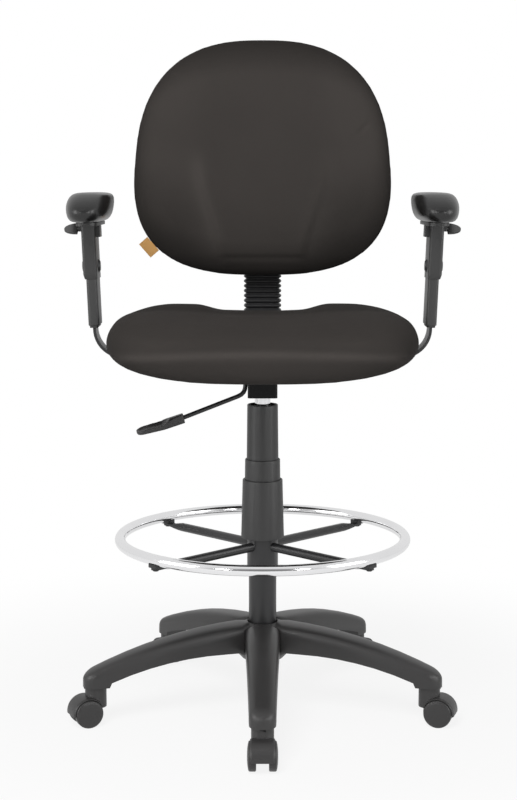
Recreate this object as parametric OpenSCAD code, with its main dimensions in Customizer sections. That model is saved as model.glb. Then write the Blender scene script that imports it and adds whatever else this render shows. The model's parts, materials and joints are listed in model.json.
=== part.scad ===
// Drafting chair: five-star base on twin-wheel casters, gas lift in a telescopic cover, foot ring
// on a spider, bolted seat mechanism, height-adjustable arms, and a contoured back on a J-shaped bar.
// Millimetres. +Z is up, the origin is on the floor under the column, and the sitter faces -Y.

/* [Casters] */
// Number of legs, each with a caster
leg_count = 5; // [5:1:5]
// Wheel diameter
wheel_d = 50; // [44:1:60]
// Tread width of one wheel
wheel_w = 13; // [11:0.5:18]
// How far the outer face of a wheel is domed
wheel_dome = 2; // [1:0.5:4]
// Space between the two wheels of a caster
wheel_split = 21; // [16:0.5:24]
// Sideways distance from the swivel axis to the axle
caster_trail = 19; // [16:0.5:24]
// Top of the caster neck above the floor
caster_h = 69; // [65:0.5:76]
// Neck diameter
neck_d = 38; // [30:1:40]
// Hood wall over the wheel treads
hood_wall = 3; // [2:0.5:4]
// Axle diameter
axle_d = 6; // [5:0.5:8]
// Stem diameter
stem_d = 11; // [10:0.5:12]
// Length of the stem above the neck
stem_l = 22; // [16:1:24]
// Heading of the trail of each caster, counted from the front leg
trail_heading = [-90, -18, 58, 118, 206]; // [-180:1:360]

/* [Star base] */
// Distance from the column axis to each caster stem
caster_circle_r = 311; // [290:1:330]
// Height of the hub where the leg crests meet
hub_top_z = 164; // [158:1:176]
// Hub diameter
hub_d = 100; // [94:1:110]
// Underside of the hub
hub_bottom_z = 95; // [92:1:100]
// Radius of the arc that the leg crest follows
leg_crest_r = 820; // [760:10:1000]
// Radius of the arch under a leg
leg_arch_r = 568; // [520:4:700]
// Distance from the axis at which the arch begins
leg_arch_start = 90; // [70:2:110]
// Height of the underside of a leg beside the hub
leg_root_z = 113; // [108:1:118]
// Leg width beside the hub
leg_root_w = 62; // [54:1:68]
// Leg width at the caster
leg_tip_w = 45; // [40:1:50]
// Height over which the leg shoulders are rounded
leg_shoulder = 20; // [14:1:24]
// Side wall of a leg
leg_wall = 4; // [3:0.5:5]
// Skin above the rib cells of a leg
leg_skin = 8; // [7.5:0.5:10]
// Thickness of the ribs under a leg
rib_w = 3; // [2:0.5:4]
// Number of cross ribs under a leg
cross_ribs = 4; // [2:1:6]

/* [Gas lift] */
// Column tube diameter
tube_d = 50; // [48:1:52]
// Column tube wall
tube_wall = 1.5; // [1.2:0.1:2.5]
// Top of the column tube
tube_top_z = 445; // [430:1:450]
// Length of the tapered foot of the tube
taper_l = 60; // [50:1:62]
// How much thinner the foot of the tube is at its end
taper_drop = 3; // [2:0.25:4]
// How far the tube reaches below the hub
tube_below_hub = 7; // [5:0.5:10]
// Lift cylinder diameter
rod_d = 28; // [27:0.5:29]
// Lift cylinder wall
rod_wall = 2.5; // [2:0.25:3.5]
// Lower end of the lift cylinder
rod_bottom_z = 160; // [155:1:175]
// Top of the lift cylinder
rod_top_z = 622; // [619:0.5:626]
// Length of the tapered head of the lift cylinder
head_taper_l = 42; // [36:1:42]
// Reduction in diameter of that head at its top
head_taper_drop = 1.5; // [1:0.1:2]
// Guide bush length
bush_l = 70; // [50:1:80]
// Piston rod diameter
piston_rod_d = 10; // [8:0.5:12]
// Height of the piston
piston_z = 262; // [256:1:280]
// Piston thickness
piston_t = 14; // [10:1:18]
// Release pin diameter
pin_d = 8; // [6:0.5:9]

/* [Telescopic cover] */
// Wall of each cover stage
cover_wall = 1.8; // [1.4:0.1:2.2]
// Bottom of the lowest stage
cover_bottom_z = 318; // [316:1:330]
// Bottom diameter of the lowest stage
cover_bottom_d = 77.5; // [76:0.5:84]
// Top of the lowest stage
cover_low_top_z = 424; // [415:1:430]
// Top diameter of the lowest stage
cover_low_top_d = 72; // [71:0.5:76]
// Top of the middle stage
cover_mid_top_z = 461; // [450:1:468]
// Top diameter of the middle stage
cover_mid_top_d = 63; // [62.5:0.5:65]
// Length of the middle stage
cover_mid_l = 110; // [100:1:114]
// Top of the upper stage
cover_up_top_z = 560; // [550:1:566]
// Top diameter of the upper stage
cover_up_top_d = 55; // [54.5:0.5:57]
// Length of the upper stage
cover_up_l = 140; // [120:1:146]
// Widening of the middle and upper stages from top to bottom
cover_draft = 3; // [2:0.25:3.5]
// Rise of the lift above its drawn height
lift_up = 80; // [60:5:80]

/* [Foot ring] */
// Radius of the centre line of the ring
ring_r = 257; // [235:1:270]
// Ring tube diameter
ring_tube_d = 19; // [16:0.5:25]
// Height of the ring centre line
ring_z = 317; // [312:1:322]
// Ring tube wall
ring_wall = 1.5; // [1:0.25:2.5]
// Spoke diameter
spoke_d = 16; // [12:0.5:18]
// Spoke tab thickness
tab_t = 4; // [3:0.5:5]
// Collar outside diameter
collar_d = 56; // [54:0.5:62]
// Collar length
collar_l = 54; // [44:1:60]
// Saddle thickness between ring and tab
saddle_t = 3; // [2:0.5:4]
// Fixing bolt diameter
ring_bolt_d = 6; // [5:0.5:8]
// Clamp knob diameter
clamp_knob_d = 36; // [30:1:44]

/* [Seat mechanism] */
// Front end of the housing
mech_front_y = -75; // [-90:1:-60]
// Rear end of the housing
mech_rear_y = 125; // [120:1:140]
// Height of the lift head above the underside of the housing
socket_h = 42; // [40:0.5:44]
// Sheet thickness of the housing
mech_wall = 3; // [2:0.5:4]
// Width of the top plate
plate_w = 180; // [150:2:200]
// Depth of the top plate
plate_d = 160; // [150:2:170]
// Thickness of the top plate
plate_t = 4; // [3:0.5:5]
// Lever rod diameter
lever_d = 8; // [6:0.5:10]
// Length of the lever grip
grip_l = 88; // [70:1:100]
// Width of the lever grip
grip_w = 26; // [20:1:32]
// Thickness of the lever grip at its root
grip_t = 17; // [14:0.5:20]

/* [Seat] */
// Height of the seat board above the underside of the housing
board_rise = 70; // [68:1:74]
// Seat board thickness
board_t = 12; // [9:0.5:15]
// Seat width
seat_w = 546; // [500:2:560]
// Seat depth
seat_d = 470; // [440:2:500]
// Rear edge of the seat
seat_rear_y = 222; // [200:1:224]
// Height of the seat top at its middle above the underside of the board
seat_h = 66; // [58:1:76]
// Rise of the side bolsters above the middle
bolster_rise = 13; // [6:1:18]
// Rise of the two lobes at the rear of the seat
lobe_rise = 6; // [0:1:12]
// Drop of the front edge of the seat top
front_fall = 26; // [14:1:34]
// How far the front roll hangs below the board
front_roll = 34; // [16:1:38]
// Squareness of the seat outline
seat_square = 2.9; // [2.4:0.1:4]

/* [Arms] */
// Strap thickness
strap_t = 5; // [4:0.5:7]
// Strap width
strap_w = 45; // [38:1:50]
// Gap between the side of the seat and the middle of the strap upright
arm_gap = 24; // [20:0.5:36]
// Bend radius of the strap at its centre line
strap_bend_r = 50; // [40:1:52]
// Outward lean of the uprights
arm_lean = 2.2; // [0:0.1:4]
// Post width
post_w = 19; // [16:0.5:20]
// Post depth
post_d = 60; // [54:1:66]
// Height of the post
post_l = 136; // [120:1:140]
// Sleeve width
sleeve_w = 24.5; // [24:0.5:30]
// Sleeve depth
sleeve_d = 70; // [66:1:80]
// Lower end of the sleeve above the foot of the upright
sleeve_low_z = 90; // [86:1:100]
// Outward offset of the sleeve
sleeve_shift = 1.5; // [0:0.25:2]
// Travel left between the top of the post and the sleeve ceiling
arm_down_travel = 40; // [20:1:44]
// Pad width
pad_w = 76; // [60:1:90]
// Pad length
pad_l = 245; // [220:1:270]
// Pad thickness
pad_t = 51; // [30:1:56]
// Middle of the pad along the chair
pad_y = 8; // [-10:1:20]
// How far the outer lip of the pad hangs below its inner lip, as a slope
pad_roll = 0.16; // [0:0.02:0.3]
// Paddle reach beyond the sleeve
paddle_l = 29; // [20:1:34]
// Paddle width
paddle_w = 50; // [40:1:64]
// Slope of the paddle, its front edge low
paddle_slope = 19; // [0:1:25]

/* [Back] */
// Back bar width
bar_w = 45; // [40:1:54]
// Back bar thickness
bar_t = 8; // [6:0.5:9]
// Position of the middle of the upright behind the column
bar_y = 250; // [250:1:262]
// Height of the level part of the bar above the underside of the housing
bar_rise = 33; // [28:0.5:38]
// Bend radius of the bar at its centre line
bar_bend_r = 45; // [30:1:50]
// Height of the lower edge of the back above the seat top
back_gap = 64; // [54:1:74]
// Height of the end of the bar above the lower edge of the back
bar_end_rise = 150; // [120:1:170]
// Height of the back
back_h = 438; // [400:2:460]
// Width of the back
back_w = 478; // [440:2:500]
// Position of the mid surface of the back at its lower edge
back_y = 200; // [196:1:204]
// Recline of the back
back_tilt = 5; // [0:0.5:6]
// How far the sides of the back wrap forward
back_wrap = 22; // [0:1:30]
// Cushion thickness in front of the board
back_pad_t = 44; // [36:1:50]
// Depth of the rear shell
shell_depth = 18; // [12:1:20]
// Wall of the rear shell
shell_wall = 3; // [2:0.5:4]
// Bellows width over the core
bellows_w = 62; // [58:1:68]
// Bellows depth over the core
bellows_d = 34; // [30:1:36]
// How far each bellows rib stands out
bellows_rib = 5; // [2:0.5:5]
// Distance from rib to rib
bellows_pitch = 9.4; // [8:0.2:14]
// Carrier width
carrier_w = 90; // [76:1:110]
// Carrier height
carrier_h = 124; // [100:2:130]
// Height of the lower end of the carrier above the lower edge of the back
carrier_rise = 32; // [28:1:40]
// Knob diameter of the back adjusters
knob_d = 42; // [34:1:48]
// Thickness of the board inside the back
back_board_t = 10; // [8:0.5:12]
// How far that board stays inside the outline of the back
back_board_inset = 40; // [30:1:60]
// Length of the cloth tag along the seam
tag_l = 33; // [20:1:40]
// Width of the cloth tag
tag_w = 21; // [15:1:30]
// Place of the cloth tag around the seam, in fortieths of a turn
tag_place = 24; // [21:1:27]

/* [Fits] */
// Radial clearance of a running shaft
run_fit = 0.05; // [0.02:0.01:0.1]
// Gap between faces that only face each other
face_gap = 0.3; // [0.2:0.05:0.5]

/* [Hidden] */

$fn = 64;
eps = 0.01;
big = 1000;

// Star base and casters
leg_step = 360 / leg_count;
socket_z = caster_h + face_gap;
axle_z = wheel_d / 2;
wheel_r = wheel_d / 2;
hood_r = wheel_r + face_gap * 3 + hood_wall;
// Rounding of the wheels and of the hood, web and boss between the wheels
wheel_edge = 3;
wheel_face = 2.5;
hood_round = 6;
hood_drop = 3;
neck_end = 8;
axle_boss_d = 20;
axle_end_gap = 0.5;
stem_grip = 20;
tube_bottom_z = hub_bottom_z - tube_below_hub;
taper_top_z = tube_bottom_z + taper_l;
tube_r = tube_d / 2;
tube_in_r = tube_r - tube_wall;
foot_r = tube_r - taper_drop / 2;
hub_r = hub_d / 2;

// Gas lift
rod_r = rod_d / 2;
rod_in_r = rod_r - rod_wall;
bearing_z = tube_bottom_z + mech_wall + face_gap;
bearing_h = 8;
bearing_r = 15;
head_z = rod_top_z - head_taper_l;
mech_bottom_z = rod_top_z - socket_h;
board_z = mech_bottom_z + board_rise;
seat_top_z = board_z + seat_h;
bar_z = mech_bottom_z + bar_rise;
back_bottom_z = seat_top_z + back_gap;
bar_top_z = back_bottom_z + bar_end_rise;
carrier_z = back_bottom_z + carrier_rise;
head_r = rod_r - head_taper_drop / 2;
pin_top_z = rod_top_z + 6;

// Inner radius of the lips that guide the middle and the upper stage
low_reach = cover_mid_top_z - cover_low_top_z + lift_up / 2;
mid_reach = cover_up_top_z - cover_mid_top_z + lift_up / 2;
low_lip_r = stage_r(cover_mid_top_d / 2, cover_mid_l, low_reach) + face_gap;
mid_lip_r = stage_r(cover_up_top_d / 2, cover_up_l, mid_reach) + face_gap;

// Foot ring
collar_top_z = cover_bottom_z - face_gap;
tab_top_z = ring_z - ring_tube_d / 2 - saddle_t;
spoke_z = tab_top_z - tab_t / 2;
press_l = 44;
tab_l = 14;
ring_head_h = 2.4;
saddle_w = 18;
saddle_l = 22;
saddle_lip = 3;
clamp_z = collar_top_z - collar_l * 0.62;

// Seat, lever and mechanism
mech_w = bar_w + 2 * mech_wall + 4 * face_gap;
plate_z = board_z - plate_t;
lever_pivot = [-19, 0, pin_top_z + 5];
lever_reach = -lever_pivot[0];
tongue_gap = 0.5;
grip_twist = 14;
dish_r = 22;
dish_depth = 2.5;
rail_y = 50;
rail_t = 6;
screw_y = mech_rear_y - 28;
seat_mid_y = seat_rear_y - seat_d / 2;
board_inset = 46;
board_corner = 70;
seat_edge = 40;
board_w = seat_w - 2 * board_inset;
board_d = seat_d - 2 * board_inset;
bolt_d = 8;
bolt_head_d = 15;
bolt_head_h = 4;
plate_edge = 14;
plate_bolts = [
    for (x = [-1, 1], y = [-1, 1]) [x * (plate_w / 2 - plate_edge), y * (plate_d / 2 - plate_edge)]
];
strap_in_x = plate_w / 2 + 4;
strap_bolt_in = 18;
strap_bolt_pitch = 70;
strap_bolts_x = [strap_in_x + strap_bolt_in, strap_in_x + strap_bolt_in + strap_bolt_pitch];

// Arms
strap_z = board_z - face_gap - strap_t / 2;
upright_z = strap_z + strap_bend_r;
upright_x = seat_w / 2 + arm_gap - strap_bend_r;
foot_x = upright_x + strap_bend_r * cos(arm_lean);
foot_z = upright_z - strap_bend_r * sin(arm_lean);
post_base = 4;
post_top = post_base + post_l;
ceiling = post_top + arm_down_travel + face_gap * 2;
roof_t = 4;
pad_plate_t = 5;
pad_plate_z = foot_z + (ceiling + roof_t) * cos(arm_lean);
pad_z = pad_plate_z + pad_plate_t + face_gap;
pad_x = foot_x + (pad_plate_z - foot_z) * tan(arm_lean);
sleeve_corner = 6;
sleeve_taper = 9;
lip_wall = 1;
boss_d = 24;
boss_t = 3.5;
boss_z = sleeve_low_z + sleeve_taper + boss_d / 2 + 1;
ear_y = 14;
ear_t = 6;
ear_out = 6;
ear_half = 5;
hinge_d = 5;
gusset_t = 7;
gusset_w = 32;
gusset_h = 18;
plate_side = 40;
plate_ends = 70;
plate_corner = 14;
paddle_t = 3;
paddle_start = 3.8;
paddle_pivot = [sleeve_w / 2 + sleeve_shift + 3.5, 0, ceiling + roof_t - ear_half - face_gap * 4];

// Back
bar_front_y = 40;
back_mid_z = back_bottom_z + back_h / 2;
core_inset = 200;
flat_inset = 120;
board_back = 8;
shell_front = board_back + face_gap;
bellows_z = bar_z + bar_bend_r + 10;
bellows_top_z = carrier_z - face_gap;
carrier_back_y = bar_y + bar_t / 2 + 12;
back_knob_z = carrier_z + carrier_h * 0.4;

// Colours
plastic = [0.15, 0.15, 0.155];
steel_black = [0.07, 0.07, 0.075];
chrome = [0.82, 0.82, 0.84];
fabric = [0.13, 0.12, 0.115];
rubber = [0.05, 0.05, 0.05];

// --- shared shapes -------------------------------------------------------------------------------

// Closed solid through a list of rings with equal numbers of points
module loft(rings) {
    n = len(rings[0]);
    m = len(rings);
    points = [for (ring = rings) each ring];
    sides = [
        for (i = [0:m - 2], j = [0:n - 1])
            let (a = i * n + j, b = i * n + (j + 1) % n)
                each [[a, b, a + n], [b, b + n, a + n]]
    ];
    caps = [[for (j = [n - 1:-1:0]) j], [for (j = [0:n - 1]) (m - 1) * n + j]];
    polyhedron(points, concat(caps, sides));
}

// Signed power, the building block of a superellipse
function spow(v, p) = sign(v) * pow(abs(v), p);

// Straight round bar from p to q
module strut(p, q, d) {
    v = q - p;
    l = norm(v);
    translate(p) rotate([0, acos(v[2] / l), atan2(v[1], v[0])]) cylinder(d = d, h = l);
}

// Rectangle with true round corners, centred
module round_rect(w, d, r) {
    square([w - 2 * r, d], center = true);
    square([w, d - 2 * r], center = true);
    for (x = [-1, 1], y = [-1, 1]) translate([x * (w / 2 - r), y * (d / 2 - r)]) circle(r);
}

// Upright prism on that rectangle
module block(w, d, h, r) {
    linear_extrude(h) round_rect(w, d, r);
}

// Hand knob with a waist and finger grooves, its face up
module knob(d, h) {
    rim = h * 0.7;
    difference() {
        union() {
            cylinder(d = d, h = rim);
            translate([0, 0, rim]) cylinder(d1 = d, d2 = d * 0.86, h = h - rim);
        }
        for (a = [0:45:315]) rotate(a) translate([d * 0.56, 0, -eps])
            cylinder(d = d * 0.24, h = h + 1, $fn = 32);
    }
}

// Side view of a flat bar bent up once: level along +X from start, round the bend, then upright
module bent_bar(start, level, r, t, rise, lean) {
    translate([start, -t / 2]) square([level - start, t]);
    translate([level, r]) intersection() {
        difference() {
            circle(r + t / 2, $fn = 96);
            circle(r - t / 2, $fn = 96);
        }
        polygon([[0, 0], [0, -2 * r], [2 * r, -2 * r], [2 * r * cos(lean), -2 * r * sin(lean)]]);
    }
    translate([level + r * cos(lean), r - r * sin(lean)]) rotate(-lean)
        translate([-t / 2, 0]) square([t, rise]);
}

// --- star base -----------------------------------------------------------------------------------

// Height of the leg crest at distance r from the axis
function crest_z(r) = hub_top_z - leg_crest_r + sqrt(leg_crest_r * leg_crest_r - r * r);

// Height of the arch under the leg at distance r
function arch_z(r) =
    let (u = max(0, r - leg_arch_start))
        leg_root_z - leg_arch_r + sqrt(leg_arch_r * leg_arch_r - u * u);

// Half the leg width at distance r, kept inside the leg's own sector of the hub
function leg_half(r) =
    let (t = (r - hub_r) / (caster_circle_r - hub_r))
        min((leg_root_w + (leg_tip_w - leg_root_w) * t) / 2, (r - 1) * tan(leg_step / 2));

// One cross-section of a leg: straight sides under a rounded crown
function leg_section(r, half, top, bottom) = concat(
    [[r, -half, bottom]],
    [for (a = [180:-15:0]) [
        r,
        half * spow(cos(a), 0.62),
        top - leg_shoulder + leg_shoulder * spow(sin(a), 0.62)
    ]],
    [[r, half, bottom]]
);

module leg() {
    tip_r = leg_tip_w / 2;
    boss_in = caster_circle_r - tip_r;
    start = (leg_root_w / 2 + 0.4) / tan(leg_step / 2) + 1;
    straight = concat([tube_r + 4], [for (i = [0:7]) start + (boss_in - 2 - start) * i / 7]);
    nose = [for (a = [0:15:75]) a];
    loft(concat(
        [for (r = straight) leg_section(r, leg_half(r), crest_z(r), arch_z(r))],
        [leg_section(boss_in + 2, leg_half(boss_in + 2), crest_z(boss_in + 2), socket_z)],
        [for (a = nose)
            let (r = caster_circle_r + tip_r * sin(a))
                leg_section(r, tip_r * cos(a), crest_z(r) - 9 * (1 - cos(a)), socket_z)]
    ));
}

// Plan of the rib cells of a leg
module rib_cells() {
    start = hub_r + 3;
    end = caster_circle_r - leg_tip_w / 2 - 2 - leg_wall;
    step = (end - start) / (cross_ribs + 1);
    difference() {
        polygon([
            [start, -leg_half(start) + leg_wall], [end, -leg_half(end) + leg_wall],
            [end, leg_half(end) - leg_wall], [start, leg_half(start) - leg_wall]
        ]);
        translate([start - 1, -rib_w / 2]) square([end - start + 2, rib_w]);
        for (i = [1:cross_ribs]) translate([start + i * step - rib_w / 2, -big / 2]) square([rib_w, big]);
    }
}

module leg_cells() {
    intersection() {
        linear_extrude(hub_top_z) rib_cells();
        translate([0, leg_root_w, hub_top_z - leg_crest_r]) rotate([90, 0, 0])
            cylinder(r = leg_crest_r - leg_skin, h = 2 * leg_root_w, $fn = 360);
    }
}

// One finished leg: hollowed from below between its ribs, with a blind socket for the caster stem
module ribbed_leg() {
    difference() {
        leg();
        leg_cells();
        translate([caster_circle_r, 0, socket_z - 1]) cylinder(d = stem_d + 2 * run_fit, h = stem_l + 2);
    }
}

module star_base() {
    recess_r = tube_r + 2.5;
    color(plastic) {
        for (i = [0:leg_count - 1]) rotate(-90 + i * leg_step) ribbed_leg();
        // Hub with a tapered seat for the column tube and a recess around it at the top
        rotate_extrude() polygon([
            [foot_r + run_fit + (hub_bottom_z - tube_bottom_z) * (tube_r - foot_r) / taper_l, hub_bottom_z],
            [hub_r * 0.75, hub_bottom_z], [hub_r, hub_bottom_z + 13],
            [hub_r, hub_top_z - 22], [hub_r - 4, hub_top_z - 12], [hub_r - 16, hub_top_z - 4],
            [recess_r + 1, hub_top_z - 2], [recess_r, hub_top_z - 3], [recess_r, taper_top_z],
            [tube_r + run_fit, taper_top_z]
        ]);
    }
}

// --- gas lift ------------------------------------------------------------------------------------

module column_tube() {
    floor_t = mech_wall;
    color(steel_black) rotate_extrude() polygon([
        [piston_rod_d / 2 + 1, tube_bottom_z], [foot_r, tube_bottom_z], [tube_r, taper_top_z],
        [tube_r, tube_top_z], [tube_in_r, tube_top_z], [tube_in_r, taper_top_z],
        [foot_r - tube_wall, tube_bottom_z + floor_t], [piston_rod_d / 2 + 1, tube_bottom_z + floor_t]
    ]);
}

module base_clip() {
    color(chrome) {
        translate([0, 0, tube_bottom_z - 2 - face_gap]) difference() {
            cylinder(d = piston_rod_d + 14, h = 2);
            translate([0, 0, -1]) cylinder(d = piston_rod_d + 2 * run_fit, h = 4);
        }
        translate([0, 0, tube_bottom_z - 4 - 2 * face_gap]) difference() {
            cylinder(d = piston_rod_d + 8, h = 1.6);
            translate([0, 0, -1]) cylinder(d = piston_rod_d + 2 * run_fit, h = 4);
            translate([0, -2.5, -1]) cube([20, 5, 4]);
        }
    }
}

module bearing_race(z, h) {
    translate([0, 0, z]) difference() {
        cylinder(r = bearing_r, h = h);
        translate([0, 0, -1]) cylinder(d = piston_rod_d + 2 * run_fit, h = h + 2);
    }
}

module thrust_bearing() {
    color(chrome) {
        bearing_race(bearing_z, 1.8);
        bearing_race(bearing_z + bearing_h - 1.8, 1.8);
        for (a = [0:40:320]) rotate(a) translate([bearing_r - 4.5, 0, bearing_z + bearing_h / 2])
            sphere(d = bearing_h - 3.8, $fn = 24);
    }
}

module piston_rod() {
    shoulder_z = bearing_z + bearing_h + 0.1;
    color(chrome) {
        translate([0, 0, tube_bottom_z - 7])
            cylinder(d = piston_rod_d, h = piston_z + piston_t - tube_bottom_z + 7);
        translate([0, 0, shoulder_z]) cylinder(d = piston_rod_d + 8, h = 4);
        translate([0, 0, piston_z]) cylinder(r = rod_in_r - run_fit, h = piston_t);
    }
}

module guide_bush() {
    color([0.8, 0.78, 0.7]) translate([0, 0, tube_top_z - bush_l]) difference() {
        union() {
            cylinder(r = tube_in_r - run_fit, h = bush_l);
            translate([0, 0, bush_l + run_fit]) cylinder(r = tube_r - 0.5, h = 3);
            translate([0, 0, bush_l - 1]) cylinder(r = tube_in_r - run_fit, h = 2);
        }
        translate([0, 0, -1]) cylinder(r = rod_r + run_fit, h = bush_l + 8);
    }
}

module pressure_cylinder() {
    cap = 10;
    color(chrome) rotate_extrude() polygon([
        [piston_rod_d / 2 + run_fit, rod_bottom_z], [rod_r, rod_bottom_z], [rod_r, head_z],
        [head_r, rod_top_z], [pin_d / 2 + run_fit, rod_top_z], [pin_d / 2 + run_fit, rod_top_z - 22],
        [rod_in_r, rod_top_z - 22], [rod_in_r, rod_bottom_z + cap],
        [piston_rod_d / 2 + run_fit, rod_bottom_z + cap]
    ]);
}

module release_pin() {
    color(chrome) {
        translate([0, 0, rod_top_z - 18]) cylinder(d = pin_d, h = pin_top_z - rod_top_z + 16);
        translate([0, 0, pin_top_z - 2 - eps]) cylinder(d1 = pin_d, d2 = pin_d - 3, h = 2 + eps);
    }
}

// --- telescopic cover ----------------------------------------------------------------------------

// Outer radius of a drafted stage at a distance below its top
function stage_r(r_top, l, down) = r_top + cover_draft / 2 * down / l;

// Drafted sleeve, chamfered at the top, with an inward lip of radius r_lip
module cover_stage(r_top, r_bottom, r_lip, z_top, l) {
    rotate_extrude() polygon([
        [r_bottom - cover_wall, z_top - l], [r_bottom, z_top - l], [r_top, z_top - 1],
        [r_top - 0.8, z_top], [r_lip, z_top], [r_lip, z_top - 2], [r_top - cover_wall, z_top - 4]
    ]);
}

module cover_lower() {
    l = cover_low_top_z - cover_bottom_z;
    color(plastic) {
        cover_stage(cover_low_top_d / 2, cover_bottom_d / 2, low_lip_r, cover_low_top_z, l);
        // Foot flange that grips the column tube
        translate([0, 0, cover_bottom_z]) difference() {
            cylinder(r = cover_bottom_d / 2 - 0.5, h = 3);
            translate([0, 0, -1]) cylinder(r = tube_r + run_fit, h = 5);
        }
    }
}

module cover_middle() {
    r_top = cover_mid_top_d / 2;
    color(plastic) cover_stage(r_top, r_top + cover_draft / 2, mid_lip_r, cover_mid_top_z, cover_mid_l);
}

module cover_upper() {
    r_top = cover_up_top_d / 2;
    color(plastic) {
        cover_stage(r_top, r_top + cover_draft / 2, r_top - 4, cover_up_top_z, cover_up_l);
        // Web just under the rim that grips the lift cylinder
        translate([0, 0, cover_up_top_z - 8]) difference() {
            cylinder(r = cover_up_top_d / 2 - 0.5, h = 2);
            translate([0, 0, -1]) cylinder(r = rod_r + run_fit, h = 4);
        }
    }
}

// --- foot ring -----------------------------------------------------------------------------------

function spoke_angles() = [45, 135, 225, 315];

module foot_ring() {
    color(chrome) translate([0, 0, ring_z]) difference() {
        rotate_extrude($fn = 120) translate([ring_r, 0]) circle(d = ring_tube_d, $fn = 24);
        rotate_extrude($fn = 120) translate([ring_r, 0]) circle(d = ring_tube_d - 2 * ring_wall, $fn = 24);
        for (a = spoke_angles()) rotate(a) translate([ring_r, 0, -ring_tube_d])
            cylinder(d = ring_bolt_d + 2 * run_fit, h = ring_tube_d);
    }
}

// One spoke: a tube pressed flat to a tab under the ring
module spoke() {
    flat_start = ring_r - press_l;
    tab_start = ring_r - tab_l;
    run = tab_start - flat_start;
    difference() {
        union() {
            translate([tube_r + 1, 0, 0]) rotate([0, 90, 0])
                cylinder(d = spoke_d, h = tab_start - tube_r + 1);
            translate([tab_start - 4, 0, -tab_t / 2]) linear_extrude(tab_t) {
                translate([0, -spoke_d / 2]) square([ring_r - tab_start + 4, spoke_d]);
                translate([ring_r - tab_start + 4, 0]) circle(d = spoke_d);
            }
        }
        // Flats that fall from the round tube to the tab
        for (s = [0, 1]) mirror([0, 0, s]) translate([flat_start, spoke_d, 0]) rotate([90, 0, 0])
            linear_extrude(2 * spoke_d) polygon([
                [0, spoke_d / 2], [run, tab_t / 2], [press_l, tab_t / 2], [press_l, spoke_d], [0, spoke_d]
            ]);
        translate([ring_r, 0, -tab_t]) cylinder(d = ring_bolt_d + 2 * run_fit, h = 2 * tab_t);
    }
}

module ring_spider() {
    color(steel_black) difference() {
        union() {
            translate([0, 0, collar_top_z - collar_l]) cylinder(d = collar_d, h = collar_l);
            for (a = spoke_angles()) rotate(a) translate([0, 0, spoke_z]) spoke();
            translate([0, 0, clamp_z]) rotate([-90, 0, 0]) cylinder(d = 20, h = collar_d / 2 + 10);
        }
        translate([0, 0, collar_top_z - collar_l - 1]) cylinder(r = tube_r + face_gap, h = collar_l + 2);
        translate([0, 0, clamp_z]) rotate([-90, 0, 0]) cylinder(d = bolt_d + 2 * run_fit, h = collar_d);
    }
}

module ring_fixings() {
    for (a = spoke_angles()) rotate(a) translate([ring_r, 0, 0]) {
        // Saddle that the ring lies in
        color(rubber) translate([0, 0, tab_top_z + run_fit]) difference() {
            linear_extrude(saddle_t + saddle_lip) round_rect(saddle_w, saddle_l, 4);
            ring_bed();
            translate([0, 0, -1]) cylinder(d = ring_bolt_d + 2 * run_fit, h = ring_tube_d);
        }
        color(steel_black) {
            translate([0, 0, tab_top_z - tab_t - ring_head_h])
                cylinder(d1 = ring_bolt_d * 1.5, d2 = ring_bolt_d * 2, h = ring_head_h - run_fit);
            translate([0, 0, tab_top_z - tab_t - 1]) cylinder(d = ring_bolt_d, h = tab_t + saddle_t + 8);
        }
    }
}

// The ring's own tube and a running fit, placed for cutting a saddle
module ring_bed() {
    translate([-ring_r, 0, ring_z - tab_top_z - run_fit]) rotate([0, 0, -6])
        rotate_extrude(angle = 12) translate([ring_r, 0]) circle(d = ring_tube_d + 2 * run_fit);
}

module ring_clamp_knob() {
    color(plastic) translate([0, 0, clamp_z]) rotate([-90, 0, 0]) {
        translate([0, 0, tube_r + face_gap]) cylinder(d = bolt_d, h = collar_d / 2 - tube_r + 14);
        translate([0, 0, collar_d / 2 + 10 + face_gap]) knob(clamp_knob_d, 18);
    }
}

// --- casters -------------------------------------------------------------------------------------

// Places a caster's own frame: origin on the floor under the stem, trail along +X
module at_caster(i) {
    a = -90 + i * leg_step;
    translate([caster_circle_r * cos(a), caster_circle_r * sin(a), 0]) rotate(trail_heading[i]) children();
}

// Round bar across the caster, on the axle line
module across(d, w) {
    translate([caster_trail, w / 2, axle_z]) rotate([90, 0, 0]) cylinder(d = d, h = w);
}

// Turned body on the axle line, from its half outline as [half width, radius] points
module on_axle(outline) {
    translate([caster_trail, 0, axle_z]) rotate([-90, 0, 0]) rotate_extrude() polygon([
        [0, -outline[0][0]], for (p = outline) [p[1], -p[0]],
        for (i = [len(outline) - 1:-1:0]) [outline[i][1], outline[i][0]], [0, outline[0][0]]
    ]);
}

// Everything over the level where the hood ends, a little under the axle
module above_skirt() {
    intersection() {
        children();
        translate([-big / 2, -big / 2, axle_z - hood_drop]) cube([big, big, big]);
    }
}

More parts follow.
